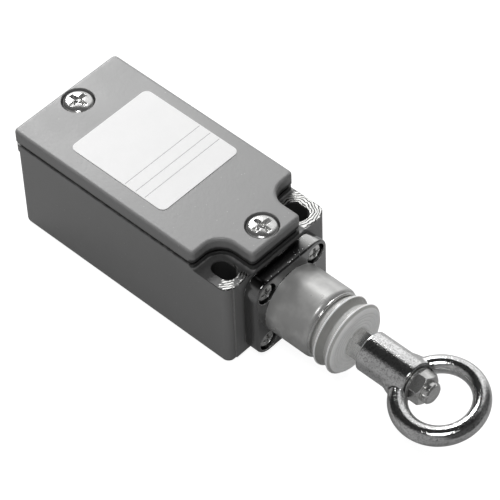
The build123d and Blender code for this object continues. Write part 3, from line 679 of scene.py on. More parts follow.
@dataclass(frozen=True)
class Plating(Finish):
    """Plated or bare metal: cloudy, mottled, pitted and rubbed bright along its edges, where the brightness
    is also a painted highlight.
    """

    tone: Colour = (0.74, 0.74, 0.73)
    rough: float = 0.24
    cloud: float = 0.12
    cloud_scale: float = 260.0
    cloud_noise: Span = (0.35, 0.62)
    cloud_times: float = 2.2
    rough_noise: Span = (0.3, 0.7)
    rough_times: Span = (1.3, 0.8)
    mottle: float = 0.0
    mottle_noise: Span = (0.40, 0.52)
    mottle_tone: Colour = (0.16, 0.16, 0.16)
    pits: float = 0.0
    pit_scale: float = 1500.0
    pit_strength: float = 0.8
    pit_tone: Colour = (0.10, 0.10, 0.10)
    flange: DarkFlange | None = None
    rim_wear_and_highlight: float = 0.0
    rim_width: float = 0.3 * MM
    rim_scale: float = 500.0
    rim_tone: Colour = (0.95, 0.95, 0.95)
    rim_metal: float = 0.1
    metal: float = 1.0
    edge: float = 0.12 * MM
    grain: float = 0.15
    depth: float = 0.03 * MM

    def plate(self, write: Nodes, effects: Effects, where: Any, clouds: Any) -> Socket:
        """Colour of the plating, with its clouds, mottle and pits.

        Args:
            write: the material's node writer.
            effects: the shared groups.
            where: the Object coordinates.
            clouds: the outputs of the clouds.

        Returns:
            The colour's socket.
        """
        dark = tuple(channel * (1.0 - self.cloud_times * self.cloud) for channel in self.tone)
        colour = write.blend(write.ramp(clouds["Broad"], *self.cloud_noise), dark, self.tone)
        if self.mottle > 0.0:
            grey = write.ramp(clouds["Fine"], *self.mottle_noise, self.mottle, 0.0)
            colour = write.blend(grey, colour, self.mottle_tone)
        if self.pits > 0.0:
            pit = write.group(effects.specks, Vector=where, Scale=self.pit_scale, Share=self.pits)["Mask"]
            colour = write.blend(write.times(pit, self.pit_strength), colour, self.pit_tone)
        return colour

    def paint(self, effects: Effects) -> bpy.types.Material:
        """Build the material.

        Args:
            effects: the shared groups.

        Returns:
            The material.
        """
        material, write, shader, where = self.start()
        clouds = write.group(effects.clouds, Vector=where, Scale=self.cloud_scale)
        colour = self.plate(write, effects, where, clouds)
        rougher, smoother = (self.rough * times for times in self.rough_times)
        rough = write.ramp(clouds["Broad"], *self.rough_noise, rougher, smoother)
        metal: Any = self.metal
        if self.flange is not None:
            ahead = self.flange.ahead(write, where)
            colour = write.blend(ahead, self.flange.colour(write, effects, where, self.tone), colour)
            rough = write.ramp(ahead, 0.0, 1.0, self.flange.rough, rough)
            metal = write.ramp(ahead, 0.0, 1.0, self.flange.metal, self.metal)
        if self.rim_wear_and_highlight > 0.0:
            # Worn edges, also painted near-white and less metallic as a highlight along the rims.
            values = {"Width": self.rim_width, "Scale": self.rim_scale, "Amount": self.rim_wear_and_highlight}
            rubbed_and_highlit = write.group(effects.wear, Vector=where, **values)["Mask"]
            colour = write.blend(rubbed_and_highlit, colour, self.rim_tone)
            metal = write.ramp(rubbed_and_highlit, 0.0, 1.0, metal, self.rim_metal)
        write.feed(shader.inputs["Metallic"], metal)
        write.link(colour, shader.inputs["Base Color"])
        write.link(rough, shader.inputs["Roughness"])
        self.relief(write, effects, shader, clouds["Fine"], (self.grain, self.depth, self.edge))
        return material


@dataclass(frozen=True)
class Folds:
    """Painted light on the bellows: highlights on the thin crests, shade between them and on the folds
    behind a brighter face.
    """

    crest_radius: float
    valley_x: Span
    face_x: float
    axis_z: float = 12.4 * MM
    fade: float = 0.3 * MM
    thin: Span = (0.20 * MM, 0.04 * MM)
    skin_tone: Colour = (0.50, 0.50, 0.49)
    valley_tone: Colour = (0.24, 0.24, 0.23)
    valley_share: float = 0.7
    crest_tone: Colour = (1.0, 1.0, 1.0)

    def shade(self, write: Nodes, where: Any, colour: Any) -> Socket:
        """Paint shade and highlights onto the folds of a moulding.

        Args:
            write: the material's node writer.
            where: the Object coordinates.
            colour: colour of the front face.

        Returns:
            The colour's socket.
        """
        axis = write.axes(where)
        radius = write.hypotenuse(axis[1], write.minus(axis[2], self.axis_z))
        # Painted shade: the folds behind the face are darker than the face.
        face = write.ramp(axis[0], self.face_x, self.face_x + self.fade)
        colour = write.blend(face, self.skin_tone, colour)
        # Painted shade in the valley between the two crests.
        start, end = self.valley_x
        after = write.ramp(axis[0], start, start + self.fade)
        before = write.ramp(axis[0], end + self.fade, end)
        deep = write.times(write.times(after, before), self.valley_share)
        colour = write.blend(deep, colour, self.valley_tone)
        # Painted highlight along the crest of each fold.
        low, high = (self.crest_radius - step for step in self.thin)
        return write.blend(write.ramp(radius, low, high), colour, self.crest_tone)


@dataclass(frozen=True)
class Moulding(Finish):
    """Rubber or plastic with a fine texture, which light may pass into, and which may have a painted glow.
    """

    tone: Colour = (0.03, 0.03, 0.03)
    rough: float = 0.5
    dark_share: float = 0.85
    cloud_scale: float = 250.0
    grain_scale: float = 2500.0
    rough_noise: Span = (0.3, 0.7)
    rough_times: Span = (0.85, 1.15)
    through: float = 0.0
    reach: Point = (2.0 * MM, 1.9 * MM, 1.8 * MM)
    glow: float = 0.0
    folds: Folds | None = None
    grain: float = 0.2
    depth: float = 0.03 * MM
    edge: float = 0.12 * MM

    def paint(self, effects: Effects) -> bpy.types.Material:
        """Build the material.

        Args:
            effects: the shared groups.

        Returns:
            The material.
        """
        material, write, shader, where = self.start()
        clouds = write.group(effects.clouds, Vector=where, Scale=self.cloud_scale)
        grain = write.group(effects.peel, Vector=where, Scale=self.grain_scale)
        dark = tuple(channel * self.dark_share for channel in self.tone)
        colour = write.blend(clouds["Broad"], dark, self.tone)
        if self.folds is not None:
            colour = self.folds.shade(write, where, colour)
        smoother, rougher = (self.rough * times for times in self.rough_times)
        rough = write.ramp(clouds["Fine"], *self.rough_noise, smoother, rougher)
        write.link(colour, shader.inputs["Base Color"])
        write.link(rough, shader.inputs["Roughness"])
        # Painted glow: the colour is also emitted, standing in for light that passes through.
        if self.glow > 0.0:
            write.link(colour, shader.inputs["Emission Color"])
            shader.inputs["Emission Strength"].default_value = self.glow
        if self.through > 0.0:
            shader.inputs["Subsurface Weight"].default_value = self.through
            shader.inputs["Subsurface Radius"].default_value = self.reach
            shader.inputs["Subsurface Scale"].default_value = 1.0
        self.relief(write, effects, shader, grain["Height"], (self.grain, self.depth, self.edge))
        return material


@dataclass(frozen=True)
class LabelFilm(Finish):
    """Plain white film with three thin ruled lines across it."""

    line_xs: tuple[float, ...] = (-29.1 * MM, -25.9 * MM, -23.2 * MM)
    line_width: Span = (0.11 * MM, 0.066 * MM)
    line_y: Span = (-10.85 * MM, 12.05 * MM)
    ink_share: float = 0.7
    ink_tone: Colour = (0.18, 0.18, 0.18)
    cloud_scale: float = 200.0
    dull: Colour = (0.93, 0.93, 0.93)
    clean: Colour = (0.98, 0.98, 0.98)
    rough_noise: Span = (0.3, 0.7)
    rough: Span = (0.38, 0.5)
    bump: Bump = (0.05, 0.02 * MM, 0.05 * MM)

    def lines(self, write: Nodes, where: Any) -> Socket:
        """Mask of the ruled lines.

        Args:
            write: the material's node writer.
            where: the Object coordinates.

        Returns:
            The mask's socket.
        """
        axis = write.axes(where)
        ink: Any = 0.0
        for x in self.line_xs:
            ink = write.most(ink, write.ramp(write.away(axis[0], x), *self.line_width))
        low, high = self.line_y
        above = write.math("GREATER_THAN", axis[1], low)
        below = write.math("LESS_THAN", axis[1], high)
        return write.times(write.times(ink, write.times(above, below)), self.ink_share)

    def paint(self, effects: Effects) -> bpy.types.Material:
        """Build the material.

        Args:
            effects: the shared groups.

        Returns:
            The material.
        """
        material, write, shader, where = self.start()
        clouds = write.group(effects.clouds, Vector=where, Scale=self.cloud_scale)
        white = write.blend(clouds["Broad"], self.dull, self.clean)
        write.link(write.blend(self.lines(write, where), white, self.ink_tone), shader.inputs["Base Color"])
        rough = write.ramp(clouds["Fine"], *self.rough_noise, *self.rough)
        write.link(rough, shader.inputs["Roughness"])
        self.relief(write, effects, shader, clouds["Fine"], self.bump)
        return material


@dataclass
class Palette:
    """All finishes of the part, by the record's slot names."""

    effects: Effects
    mouth: float
    made: dict[str, bpy.types.Material] = field(default_factory=dict)

    def silicone(self) -> Moulding:
        """Milky silicone of the bellows, with painted shade and highlights on its folds and a painted glow.

        Returns:
            The finish.
        """
        return Moulding(
            "milky silicone",
            tone=(0.98, 0.98, 0.97),
            rough=0.24,
            through=0.6,
            grain_scale=1800.0,
            grain=0.1,
            glow=0.13,
            folds=Folds(
                crest_radius=8.48 * MM,
                valley_x=(self.mouth + FIRST_CREST, self.mouth + 3.7 * MM),
                face_x=self.mouth + 6.1 * MM,
            ),
        )

    def nickel(self) -> Plating:
        """Dull nickel of the pull head, whose flange is darker than its barrel and carries painted light and
        shade on its top, with rims painted bright as a highlight.

        Returns:
            The finish.
        """
        return Plating(
            "nickel plate",
            tone=(0.72, 0.72, 0.71),
            rough=0.30,
            cloud=0.13,
            cloud_scale=150.0,
            edge=0.15 * MM,
            flange=DarkFlange(self.mouth - BARREL_LENGTH),
            metal=0.38,
            grain=0.0,
            rim_wear_and_highlight=0.9,
        )

    @staticmethod
    def zinc() -> Plating:
        """Zinc plate of the screws, the nut and the rod, with edges rubbed bright and painted as a
        highlight.

        Returns:
            The finish.
        """
        return Plating(
            "zinc plated steel",
            tone=(0.80, 0.80, 0.79),
            rough=0.16,
            cloud=0.10,
            cloud_scale=300.0,
            edge=0.25 * MM,
            mottle=0.15,
            grain=0.4,
            metal=0.85,
            rim_wear_and_highlight=1.0,
        )

    @staticmethod
    def chrome() -> Plating:
        """Bright chrome of the eye, mottled with small pits.

        Returns:
            The finish.
        """
        return Plating(
            "bright chrome",
            tone=(0.90, 0.90, 0.90),
            rough=0.10,
            cloud=0.07,
            pits=0.05,
            mottle=0.32,
            grain=0.9,
            depth=0.05 * MM,
        )

    def build(self) -> "Palette":
        """Paint every finish once.

        Returns:
            The palette itself.
        """
        finishes = {
            "housing_paint": Enamel("case enamel", tone=0.32, ears=EarWearAndShade()),
            "cover_paint": Enamel("cover enamel", tone=0.32),
            "gasket_rubber": Moulding("gasket rubber", tone=(0.020, 0.020, 0.020), rough=0.55),
            "zinc_steel": self.zinc(),
            "label_white": LabelFilm("label film"),
            "nickel_plate": self.nickel(),
            "bush_brass": Plating("turned brass", tone=(0.80, 0.62, 0.32), rough=0.25, cloud=0.06),
            "silicone": self.silicone(),
            "spring_steel": Plating("spring wire", tone=(0.70, 0.70, 0.70), rough=0.22, cloud=0.06),
            "block_plastic": Moulding("block plastic", tone=(0.035, 0.035, 0.036), rough=0.42),
            "carrier_plastic": Moulding("carrier plastic", tone=(0.66, 0.63, 0.55), rough=0.40, through=0.1),
            "contact_brass": Plating("contact brass", tone=(0.82, 0.66, 0.36), rough=0.24, cloud=0.06),
            "eye_chrome": self.chrome(),
        }
        for slot, finish in finishes.items():
            self.made[slot] = finish.paint(self.effects)
            LOG.info("finish %s for slot %s", finish.name, slot)
        return self

    def dress(self, node: bpy.types.Object) -> None:
        """Give a CAD node its finish in place of the plain one that it came with."""
        slot = node.data.materials[0].name.split(".")[0]
        node.data.materials[0] = self.made[slot]


def from_bmesh(name: str, shell: bmesh.types.BMesh) -> bpy.types.Object:
    """Make an object of a finished bmesh.

    Args:
        name: name of the new object.
        shell: the mesh, which is freed.

    Returns:
        The object, linked to the scene.
    """
    mesh = bpy.data.meshes.new(name)
    shell.to_mesh(mesh)
    shell.free()
    return show(name, mesh)


def show(name: str, data: Any) -> bpy.types.Object:
    """Link a new object to the scene.

    Args:
        name: name of the object.
        data: its mesh, camera or light.

    Returns:
        The object.
    """
    made = bpy.data.objects.new(name, data)
    bpy.context.scene.collection.objects.link(made)
    return made


def evaluated(piece: bpy.types.Object) -> bpy.types.Mesh:
    """Plain mesh of an object with its modifiers applied."""
    graph = bpy.context.evaluated_depsgraph_get()
    return bpy.data.meshes.new_from_object(piece.evaluated_get(graph))


def lathe(name: str, profile: Sequence[Span], centre: Vector, segments: int) -> bpy.types.Object:
    """Turn a closed profile about an axis along X.

    Args:
        name: name of the new object.
        profile: (x, radius) points of the closed outline, in metres.
        centre: a point of the axis, whose y and z count.
        segments: faces round the axis.

    Returns:
        The turned object.
    """
    shell = bmesh.new()
    rings = []
    for step in range(segments):
        angle = 2.0 * math.pi * step / segments
        across, up = math.cos(angle), math.sin(angle)
        rings.append([shell.verts.new((x, centre.y + r * across, centre.z + r * up)) for x, r in profile])
    count = len(profile)
    for step, ring in enumerate(rings):
        after = rings[(step + 1) % segments]
        for index in range(count):
            other = (index + 1) % count
            shell.faces.new((ring[index], ring[other], after[other], after[index]))
    bmesh.ops.remove_doubles(shell, verts=shell.verts, dist=WELD)
    bmesh.ops.recalc_face_normals(shell, faces=shell.faces)
    for face in shell.faces:
        face.smooth = True
    return from_bmesh(name, shell)


def between(before: float, start: float, end: float, after: float, t: float) -> float:
    """Value of a Catmull-Rom spline between two of its points.

    Args:
        before: the point before the span.
        start: the span's first point.
        end: the span's last point.
        after: the point after the span.
        t: the place in the span, from 0 to 1.

    Returns:
        The value at that place.
    """
    slope = (end - before) * t
    bend = (2 * before - 5 * start + 4 * end - after) * t**2
    twist = (3 * start - before - 3 * end + after) * t**3
    return 0.5 * (2 * start + slope + bend + twist)


def wavy(points: Sequence[Span], steps: int) -> list[Span]:
    """Smooth curve through points, as a Catmull-Rom spline.

    Args:
        points: the (x, radius) points that it passes through.
        steps: points for each span.

    Returns:
        The points of the curve.
    """
    line = [points[0], *points, points[-1]]
    curve = []
    for corners in zip(line, line[1:], line[2:], line[3:]):
        for step in range(steps):
            curve.append(tuple(between(*values, step / steps) for values in zip(*corners)))
    curve.append(points[-1])
    return curve


def circle(centre: Span, radius: float, steps: int) -> list[Span]:
    """Points round a circle.

    Args:
        centre: its (x, radius) centre.
        radius: its radius.
        steps: number of points.

    Returns:
        The (x, radius) points.
    """
    turns = [2.0 * math.pi * step / steps for step in range(steps)]
    return [(centre[0] + radius * math.cos(turn), centre[1] + radius * math.sin(turn)) for turn in turns]


def geometry_group(name: str, inputs: SocketList) -> tuple[Nodes, Any, Any]:
    """Start a Geometry Nodes tree with named inputs and one geometry output.

    Args:
        name: the tree's name.
        inputs: socket type and default value, by name.

    Returns:
        The tree's node writer, the outputs of its input node and the inputs of its output node.
    """
    tree = bpy.data.node_groups.new(name, "GeometryNodeTree")
    tree.interface.new_socket(name="Geometry", in_out="INPUT", socket_type="NodeSocketGeometry")
    for label, (kind, value) in inputs.items():
        socket = tree.interface.new_socket(name=label, in_out="INPUT", socket_type=kind)
        if value is not None:
            socket.default_value = value
    tree.interface.new_socket(name="Geometry", in_out="OUTPUT", socket_type="NodeSocketGeometry")
    write = Nodes(tree)
    return write, write.add("NodeGroupInput").outputs, write.add("NodeGroupOutput").inputs


def grow(
    name: str, tree: bpy.types.NodeTree, values: dict[str, Any], seed: bpy.types.Object | None = None
) -> bpy.types.Object:
    """Run a Geometry Nodes tree and keep its result as a plain mesh.

    Args:
        name: name of the new object.
        tree: the Geometry Nodes tree.
        values: value of each named input.
        seed: object whose mesh goes in, which is removed afterwards.

    Returns:
        The new object, with no modifier left.
    """
    carrier = seed or from_bmesh(f"{name}_seed", bmesh.new())
    modifier = carrier.modifiers.new("grow", "NODES")
    modifier.node_group = tree
    for item in tree.interface.items_tree:
        if item.item_type == "SOCKET" and item.in_out == "INPUT" and item.name in values:
            modifier[item.identifier] = values[item.name]
    mesh = evaluated(carrier)
    mesh.name = name
    made = show(name, mesh)
    bpy.data.objects.remove(carrier)
    return made


def finish_mesh(write: Nodes, given: Any, result: Any, geometry: Any, smooth: bool = True) -> None:
    """End a tree with smooth shading, realized instances and its material.

    Args:
        write: the tree's node writer.
        given: the outputs of the input node, with a Finish.
        result: the inputs of the output node.
        geometry: the socket of the shape.
        smooth: whether the faces are shaded smooth.
    """
    real = write.add("GeometryNodeRealizeInstances", {0: geometry}).outputs[0]
    if smooth:
        real = write.add("GeometryNodeSetShadeSmooth", {"Geometry": real}).outputs[0]
    made = write.add("GeometryNodeSetMaterial", {"Geometry": real, "Material": given["Finish"]})
    write.link(made.outputs[0], result[0])


def coil_tree() -> bpy.types.NodeTree:
    """Tree of a coil spring along X.

    Returns:
        The tree.
    """
    write, given, result = geometry_group(
        "Coil spring",
        {
            "Turns": ("NodeSocketFloat", 6.0),
            "Radius": ("NodeSocketFloat", 4.0 * MM),
            "Wire": ("NodeSocketFloat", 0.35 * MM),
            "Length": ("NodeSocketFloat", 10.0 * MM),
            "Steps Each Turn": ("NodeSocketInt", 36),
            "Steps Round Wire": ("NodeSocketInt", 14),
            "Place": ("NodeSocketVector", None),
            "Finish": ("NodeSocketMaterial", None),
        },
    )
    helix = {
        "Resolution": given["Steps Each Turn"],
        "Rotations": given["Turns"],
        "Start Radius": given["Radius"],
        "End Radius": given["Radius"],
        "Height": given["Length"],
    }
    spiral = write.add("GeometryNodeCurveSpiral", helix).outputs[0]
    wire = {"Resolution": given["Steps Round Wire"], "Radius": given["Wire"]}
    ring = write.add("GeometryNodeCurvePrimitiveCircle", wire).outputs[0]
    sweep = {"Curve": spiral, "Profile Curve": ring, "Fill Caps": True}
    tube = write.add("GeometryNodeCurveToMesh", sweep).outputs[0]
    place = {"Geometry": tube, "Translation": given["Place"], "Rotation": Way.FORWARD.value}
    finish_mesh(write, given, result, write.add("GeometryNodeTransform", place).outputs[0])
    return write.tree


def pattern_tree() -> bpy.types.NodeTree:
    """Tree that repeats the mesh that goes in on a grid of columns and rows, each copy turned a little.

    Returns:
        The tree.
    """
    write, given, result = geometry_group(
        "Screw pattern",
        {
            "Size X": ("NodeSocketFloat", 0.0),
            "Size Y": ("NodeSocketFloat", 0.0),
            "Place": ("NodeSocketVector", None),
            "Way": ("NodeSocketRotation", None),
            "Turn": ("NodeSocketFloat", 0.0),
            "Spread": ("NodeSocketFloat", 0.2),
            "Seed": ("NodeSocketInt", 3),
            "Merge": ("NodeSocketFloat", 0.01 * MM),
            "Finish": ("NodeSocketMaterial", None),
        },
    )
    corners = {"Size X": given["Size X"], "Size Y": given["Size Y"], "Vertices X": 2, "Vertices Y": 2}
    grid = write.add("GeometryNodeMeshGrid", corners).outputs[0]
    near = {"Geometry": grid, "Distance": given["Merge"]}
    spots = write.add("GeometryNodeMergeByDistance", near).outputs[0]
    chance = write.add("FunctionNodeRandomValue", {"Seed": given["Seed"]}, data_type="FLOAT").outputs[1]
    angle = write.plus(given["Turn"], write.times(chance, given["Spread"]))
    turned = {"Points": spots, "Instance": given["Geometry"], "Rotation": write.vector(0.0, 0.0, angle)}
    copies = write.add("GeometryNodeInstanceOnPoints", turned).outputs[0]
    real = write.add("GeometryNodeRealizeInstances", {0: copies}).outputs[0]
    place = {"Geometry": real, "Translation": given["Place"], "Rotation": given["Way"]}
    placed = write.add("GeometryNodeTransform", place).outputs[0]
    finish_mesh(write, given, result, placed, smooth=False)
    return write.tree


class EyeTree:
    """Tree of the eye: a bored sleeve and a rolled ring, run together by a smooth blend.

    The shape is a distance, below zero inside the eye, which a volume and then a mesh are made from.
    """

    surface: float = 1.0
    sockets: SocketList = {
        "Axis Z": ("NodeSocketFloat", 12.4 * MM),
        "Sleeve Rear": ("NodeSocketFloat", 30.7 * MM),
        "Sleeve Front": ("NodeSocketFloat", 43.5 * MM),
        "Sleeve Radius": ("NodeSocketFloat", 4.7 * MM),
        "Sleeve Edge": ("NodeSocketFloat", 0.5 * MM),
        "Ring X": ("NodeSocketFloat", 50.1 * MM),
        "Ring Radius": ("NodeSocketFloat", 8.75 * MM),
        "Bar Radius": ("NodeSocketFloat", 2.1 * MM),
        "Swell": ("NodeSocketFloat", 0.14 * MM),
        "Roll": ("NodeSocketFloat", math.radians(8.0)),
        "Blend": ("NodeSocketFloat", 3.0 * MM),
        "Front Blend": ("NodeSocketFloat", 0.5 * MM),
        "Blend Span": ("NodeSocketFloat", 4.2 * MM),
        "Web Height": ("NodeSocketFloat", 0.35),
        "Web Edge": ("NodeSocketFloat", 0.30),
        "Groove Radius": ("NodeSocketFloat", 3.55 * MM),
        "Groove Depth": ("NodeSocketFloat", 1.4 * MM),
        "Bore Radius": ("NodeSocketFloat", 2.57 * MM),
        "Spot Radius": ("NodeSocketFloat", 4.1 * MM),
        "Spot X": ("NodeSocketFloat", 43.0 * MM),
        "Spot Length": ("NodeSocketFloat", 3.8 * MM),
        "Margin": ("NodeSocketFloat", MM),
        "Voxel": ("NodeSocketFloat", 0.15 * MM),
        "Finish": ("NodeSocketMaterial", None),
    }

    def __init__(self) -> None:
        """Build the tree, with the place in the eye as its axis, height and radius."""
        self.write, self.given, result = geometry_group("Eye", self.sockets)
        place = self.write.add("GeometryNodeInputPosition").outputs[0]
        self.axis = self.write.axes(place)
        self.height = self.write.minus(self.axis[2], self.given["Axis Z"])
        self.radius = self.write.hypotenuse(self.axis[1], self.height)
        distance = self.shape()
        skin = self.skin(distance)
        finish_mesh(self.write, self.given, result, self.seated(skin, distance))
        self.tree = self.write.tree

    def sleeve(self) -> Socket:
        """Distance from the sleeve, a cylinder along X with rounded edges.

        Returns:
            The distance's socket.
        """
        write, given = self.write, self.given
        middle = write.times(write.plus(given["Sleeve Rear"], given["Sleeve Front"]), 0.5)
        half = write.minus(given["Sleeve Front"], middle)
        past_end = write.plus(write.minus(write.away(self.axis[0], middle), half), given["Sleeve Edge"])
        past_wall = write.plus(write.minus(self.radius, given["Sleeve Radius"]), given["Sleeve Edge"])
        outside = write.hypotenuse(write.most(past_end, 0.0), write.most(past_wall, 0.0))
        inside = write.least(write.most(past_end, past_wall), 0.0)
        return write.minus(write.plus(outside, inside), given["Sleeve Edge"])

    def ring(self) -> tuple[Socket, Socket]:
        """Distance from the ring, rolled about the rod's axis, whose bar swells to one side.

        Returns:
            The distance's socket and the height above the ring's plane.
        """
        write, given = self.write, self.given
        cosine = write.math("COSINE", given["Roll"])
        sine = write.math("SINE", given["Roll"])
        across = write.plus(write.times(self.axis[1], cosine), write.times(self.height, sine))
        above = write.minus(write.times(self.height, cosine), write.times(self.axis[1], sine))
        spread = write.hypotenuse(write.minus(self.axis[0], given["Ring X"]), across)
        more = write.times(write.over(across, write.plus(spread, given["Margin"])), given["Swell"])
        off_ring = write.plus(write.minus(spread, given["Ring Radius"]), more)
        ring = write.plus(write.minus(write.hypotenuse(off_ring, above), given["Bar Radius"]), more)
        return ring, above

    def reach(self, above: Socket) -> Socket:
        """How far the web reaches, less ahead of the blend's span and above the ring's plane.

        Args:
            above: height above the ring's plane.

        Returns:
            The reach's socket.
        """
        write, given = self.write, self.given
        last = write.minus(given["Sleeve Front"], given["Blend Span"])
        crisp = write.minus(given["Sleeve Front"], given["Groove Depth"])
        along = write.ramp(self.axis[0], last, crisp, given["Blend"], given["Front Blend"])
        part_way = write.times(given["Bar Radius"], given["Web Height"])
        side = write.math("ABSOLUTE", above)
        return write.times(along, write.ramp(side, part_way, given["Bar Radius"], 1.0, given["Web Edge"]))

    def shape(self) -> Socket:
        """Distance from the whole eye, with its bore, its spot face and the groove round the washer.

        Returns:
            The distance's socket.
        """
        write, given = self.write, self.given
        sleeve = self.sleeve()
        ring, above = self.ring()
        reach = self.reach(above)
        apart = write.math("ABSOLUTE", write.minus(sleeve, ring))
        near = write.most(write.minus(reach, apart), 0.0)
        # Where both distances are the same, the web lies a quarter of its reach outside them.
        web = write.over(write.times(near, near), write.times(reach, 4.0))
        body = write.minus(write.least(sleeve, ring), web)

        before_end = write.minus(write.plus(given["Sleeve Front"], given["Margin"]), self.axis[0])
        bore = write.least(write.minus(given["Bore Radius"], self.radius), before_end)
        into = write.minus(self.axis[0], given["Spot X"])
        left = write.minus(given["Spot Length"], into)
        wall = write.minus(given["Spot Radius"], self.radius)
        spot = write.least(write.least(wall, into), left)
        groove = write.least(write.plus(into, given["Groove Depth"]), wall)
        groove = write.least(write.least(groove, write.minus(self.radius, given["Groove Radius"])), left)
        return write.most(write.most(write.most(body, bore), spot), groove)

    def skin(self, distance: Socket) -> Socket:
        """Mesh round a volume whose density falls with the distance.

        Args:
            distance: distance from the eye.

        Returns:
            The mesh's socket.
        """
        write, given = self.write, self.given
        reach = write.plus(write.plus(given["Ring Radius"], given["Bar Radius"]), given["Margin"])
        rear = write.minus(given["Sleeve Rear"], given["Margin"])
        tall = write.plus(given["Sleeve Radius"], given["Margin"])
        low = write.vector(rear, write.times(reach, -1.0), write.minus(given["Axis Z"], tall))
        high = write.vector(write.plus(given["Ring X"], reach), reach, write.plus(given["Axis Z"], tall))
        density = write.minus(self.surface, write.over(distance, given["Margin"]))
        cube = write.add("GeometryNodeVolumeCube", {"Density": density, "Min": low, "Max": high})
        span = write.add("ShaderNodeVectorMath", {0: high, 1: low}, operation="SUBTRACT").outputs[0]
        for side, label in zip(write.axes(span), ("Resolution X", "Resolution Y", "Resolution Z")):
            write.link(write.over(side, given["Voxel"]), cube.inputs[label])
        volume = {"Volume": cube.outputs[0], "Threshold": self.surface}
        return write.add("GeometryNodeVolumeToMesh", volume).outputs[0]

    def seated(self, skin: Socket, distance: Socket) -> Socket:
        """Mesh moved along its normals until its distance is zero.

        Args:
            skin: the mesh.
            distance: distance from the eye.

        Returns:
            The mesh's socket.
        """
        normal = self.write.add("GeometryNodeInputNormal").outputs[0]
        back = {0: normal, "Scale": self.write.times(distance, -1.0)}
        offset = self.write.add("ShaderNodeVectorMath", back, operation="SCALE").outputs[0]
        return self.write.add("GeometryNodeSetPosition", {"Geometry": skin, "Offset": offset}).outputs[0]


@dataclass
class CrossScrew:
    """Pan-head screw with a tapered cross recess, seat at z = 0 and head up."""

    head_radius: float
    head_height: float
    shank_radius: float
    shank_length: float
    rim_share: float = 0.45
    crown_width: float = 0.62
    crown_fall: float = 0.6
    crown_steps: int = 12
    recess_span: float = 0.74
    recess_arm: float = 0.18
    recess_depth: float = 0.55
    bottom_span: float = 0.55
    bottom_arm: float = 0.62
    cutter_rise: float = 1.3
    cutter_flare: float = 1.15
    sharp_angle: float = math.radians(32.0)
    segments: int = 56

    def profile(self) -> list[Span]:
        """Outline from the crown to the tip.

        Returns:
            The (radius, z) points.
        """
        crown = []
        for step in range(self.crown_steps + 1):
            turn = 0.5 * math.pi * step / self.crown_steps
            radius = self.head_radius * math.sin(turn) ** self.crown_width
            fall = (1.0 - self.rim_share) * math.cos(turn) ** self.crown_fall
            crown.append((radius, self.head_height * (self.rim_share + fall)))
        shank = self.shank_radius
        tip = -self.shank_length
        return [*crown, (self.head_radius, 0.0), (shank, 0.0), (shank, tip), (0.0, tip)]

    def arm(self, name: str, turn: float) -> bpy.types.Object:
        """Cutter of one arm of the cross, narrower towards its bottom.

        Args:
            name: name of the cutter.
            turn: angle about Z.

        Returns:
            The cutter.
        """
        top = self.head_height * self.cutter_rise
        low = self.head_height * (1.0 - self.recess_depth)
        span = self.head_radius * self.recess_span
        arm = self.head_radius * self.recess_arm
        along = Vector((math.cos(turn), math.sin(turn), 0.0))
        across = Vector((-along.y, along.x, 0.0))
        shell = bmesh.new()
        rings = []
        levels = (
            (low, span * self.bottom_span, arm * self.bottom_arm),
            (top, span * self.cutter_flare, arm * self.cutter_flare),
        )
        for z, long, wide in levels:
            corners = ((-long, -wide), (long, -wide), (long, wide), (-long, wide))
            level = Vector((0.0, 0.0, z))
            rings.append([shell.verts.new(along * x + across * y + level) for x, y in corners])
        shell.faces.new(rings[0])
        shell.faces.new(rings[1])
        for index in range(4):
            after = (index + 1) % 4
            shell.faces.new((rings[0][index], rings[0][after], rings[1][after], rings[1][index]))
        bmesh.ops.recalc_face_normals(shell, faces=shell.faces)
        return from_bmesh(name, shell)

    def blank(self, name: str) -> bpy.types.Object:
        """Turn the screw without its recess.

        Args:
            name: name of the object.

        Returns:
            The blank.
        """
        shell = bmesh.new()
        outline = [shell.verts.new((radius, 0.0, z)) for radius, z in self.profile()]
        edges = [shell.edges.new(pair) for pair in zip(outline, outline[1:])]
        bmesh.ops.spin(
            shell,
            geom=outline + edges,
            cent=(0.0, 0.0, 0.0),
            axis=(0.0, 0.0, 1.0),
            angle=2.0 * math.pi,
            steps=self.segments,
            use_duplicate=False,
        )
        bmesh.ops.remove_doubles(shell, verts=shell.verts, dist=WELD)
        bmesh.ops.recalc_face_normals(shell, faces=shell.faces)
        return from_bmesh(name, shell)

    def build(self, name: str) -> bpy.types.Object:
        """Turn the screw and cut its recess.

        Args:
            name: name of the object.

        Returns:
            The screw.
        """
        body = self.blank(f"{name}_blank")
        cutters = [self.arm(f"{name}_arm_{index}", math.pi / 2 * index) for index in range(2)]
        for cutter in cutters:
            cut = body.modifiers.new("recess", "BOOLEAN")
            cut.operation = "DIFFERENCE"
            cut.solver = "EXACT"
            cut.object = cutter
        mesh = evaluated(body)
        for spare in (body, *cutters):
            bpy.data.objects.remove(spare)
        for face in mesh.polygons:
            face.use_smooth = True
        mesh.set_sharp_from_angle(angle=self.sharp_angle)
        return show(name, mesh)


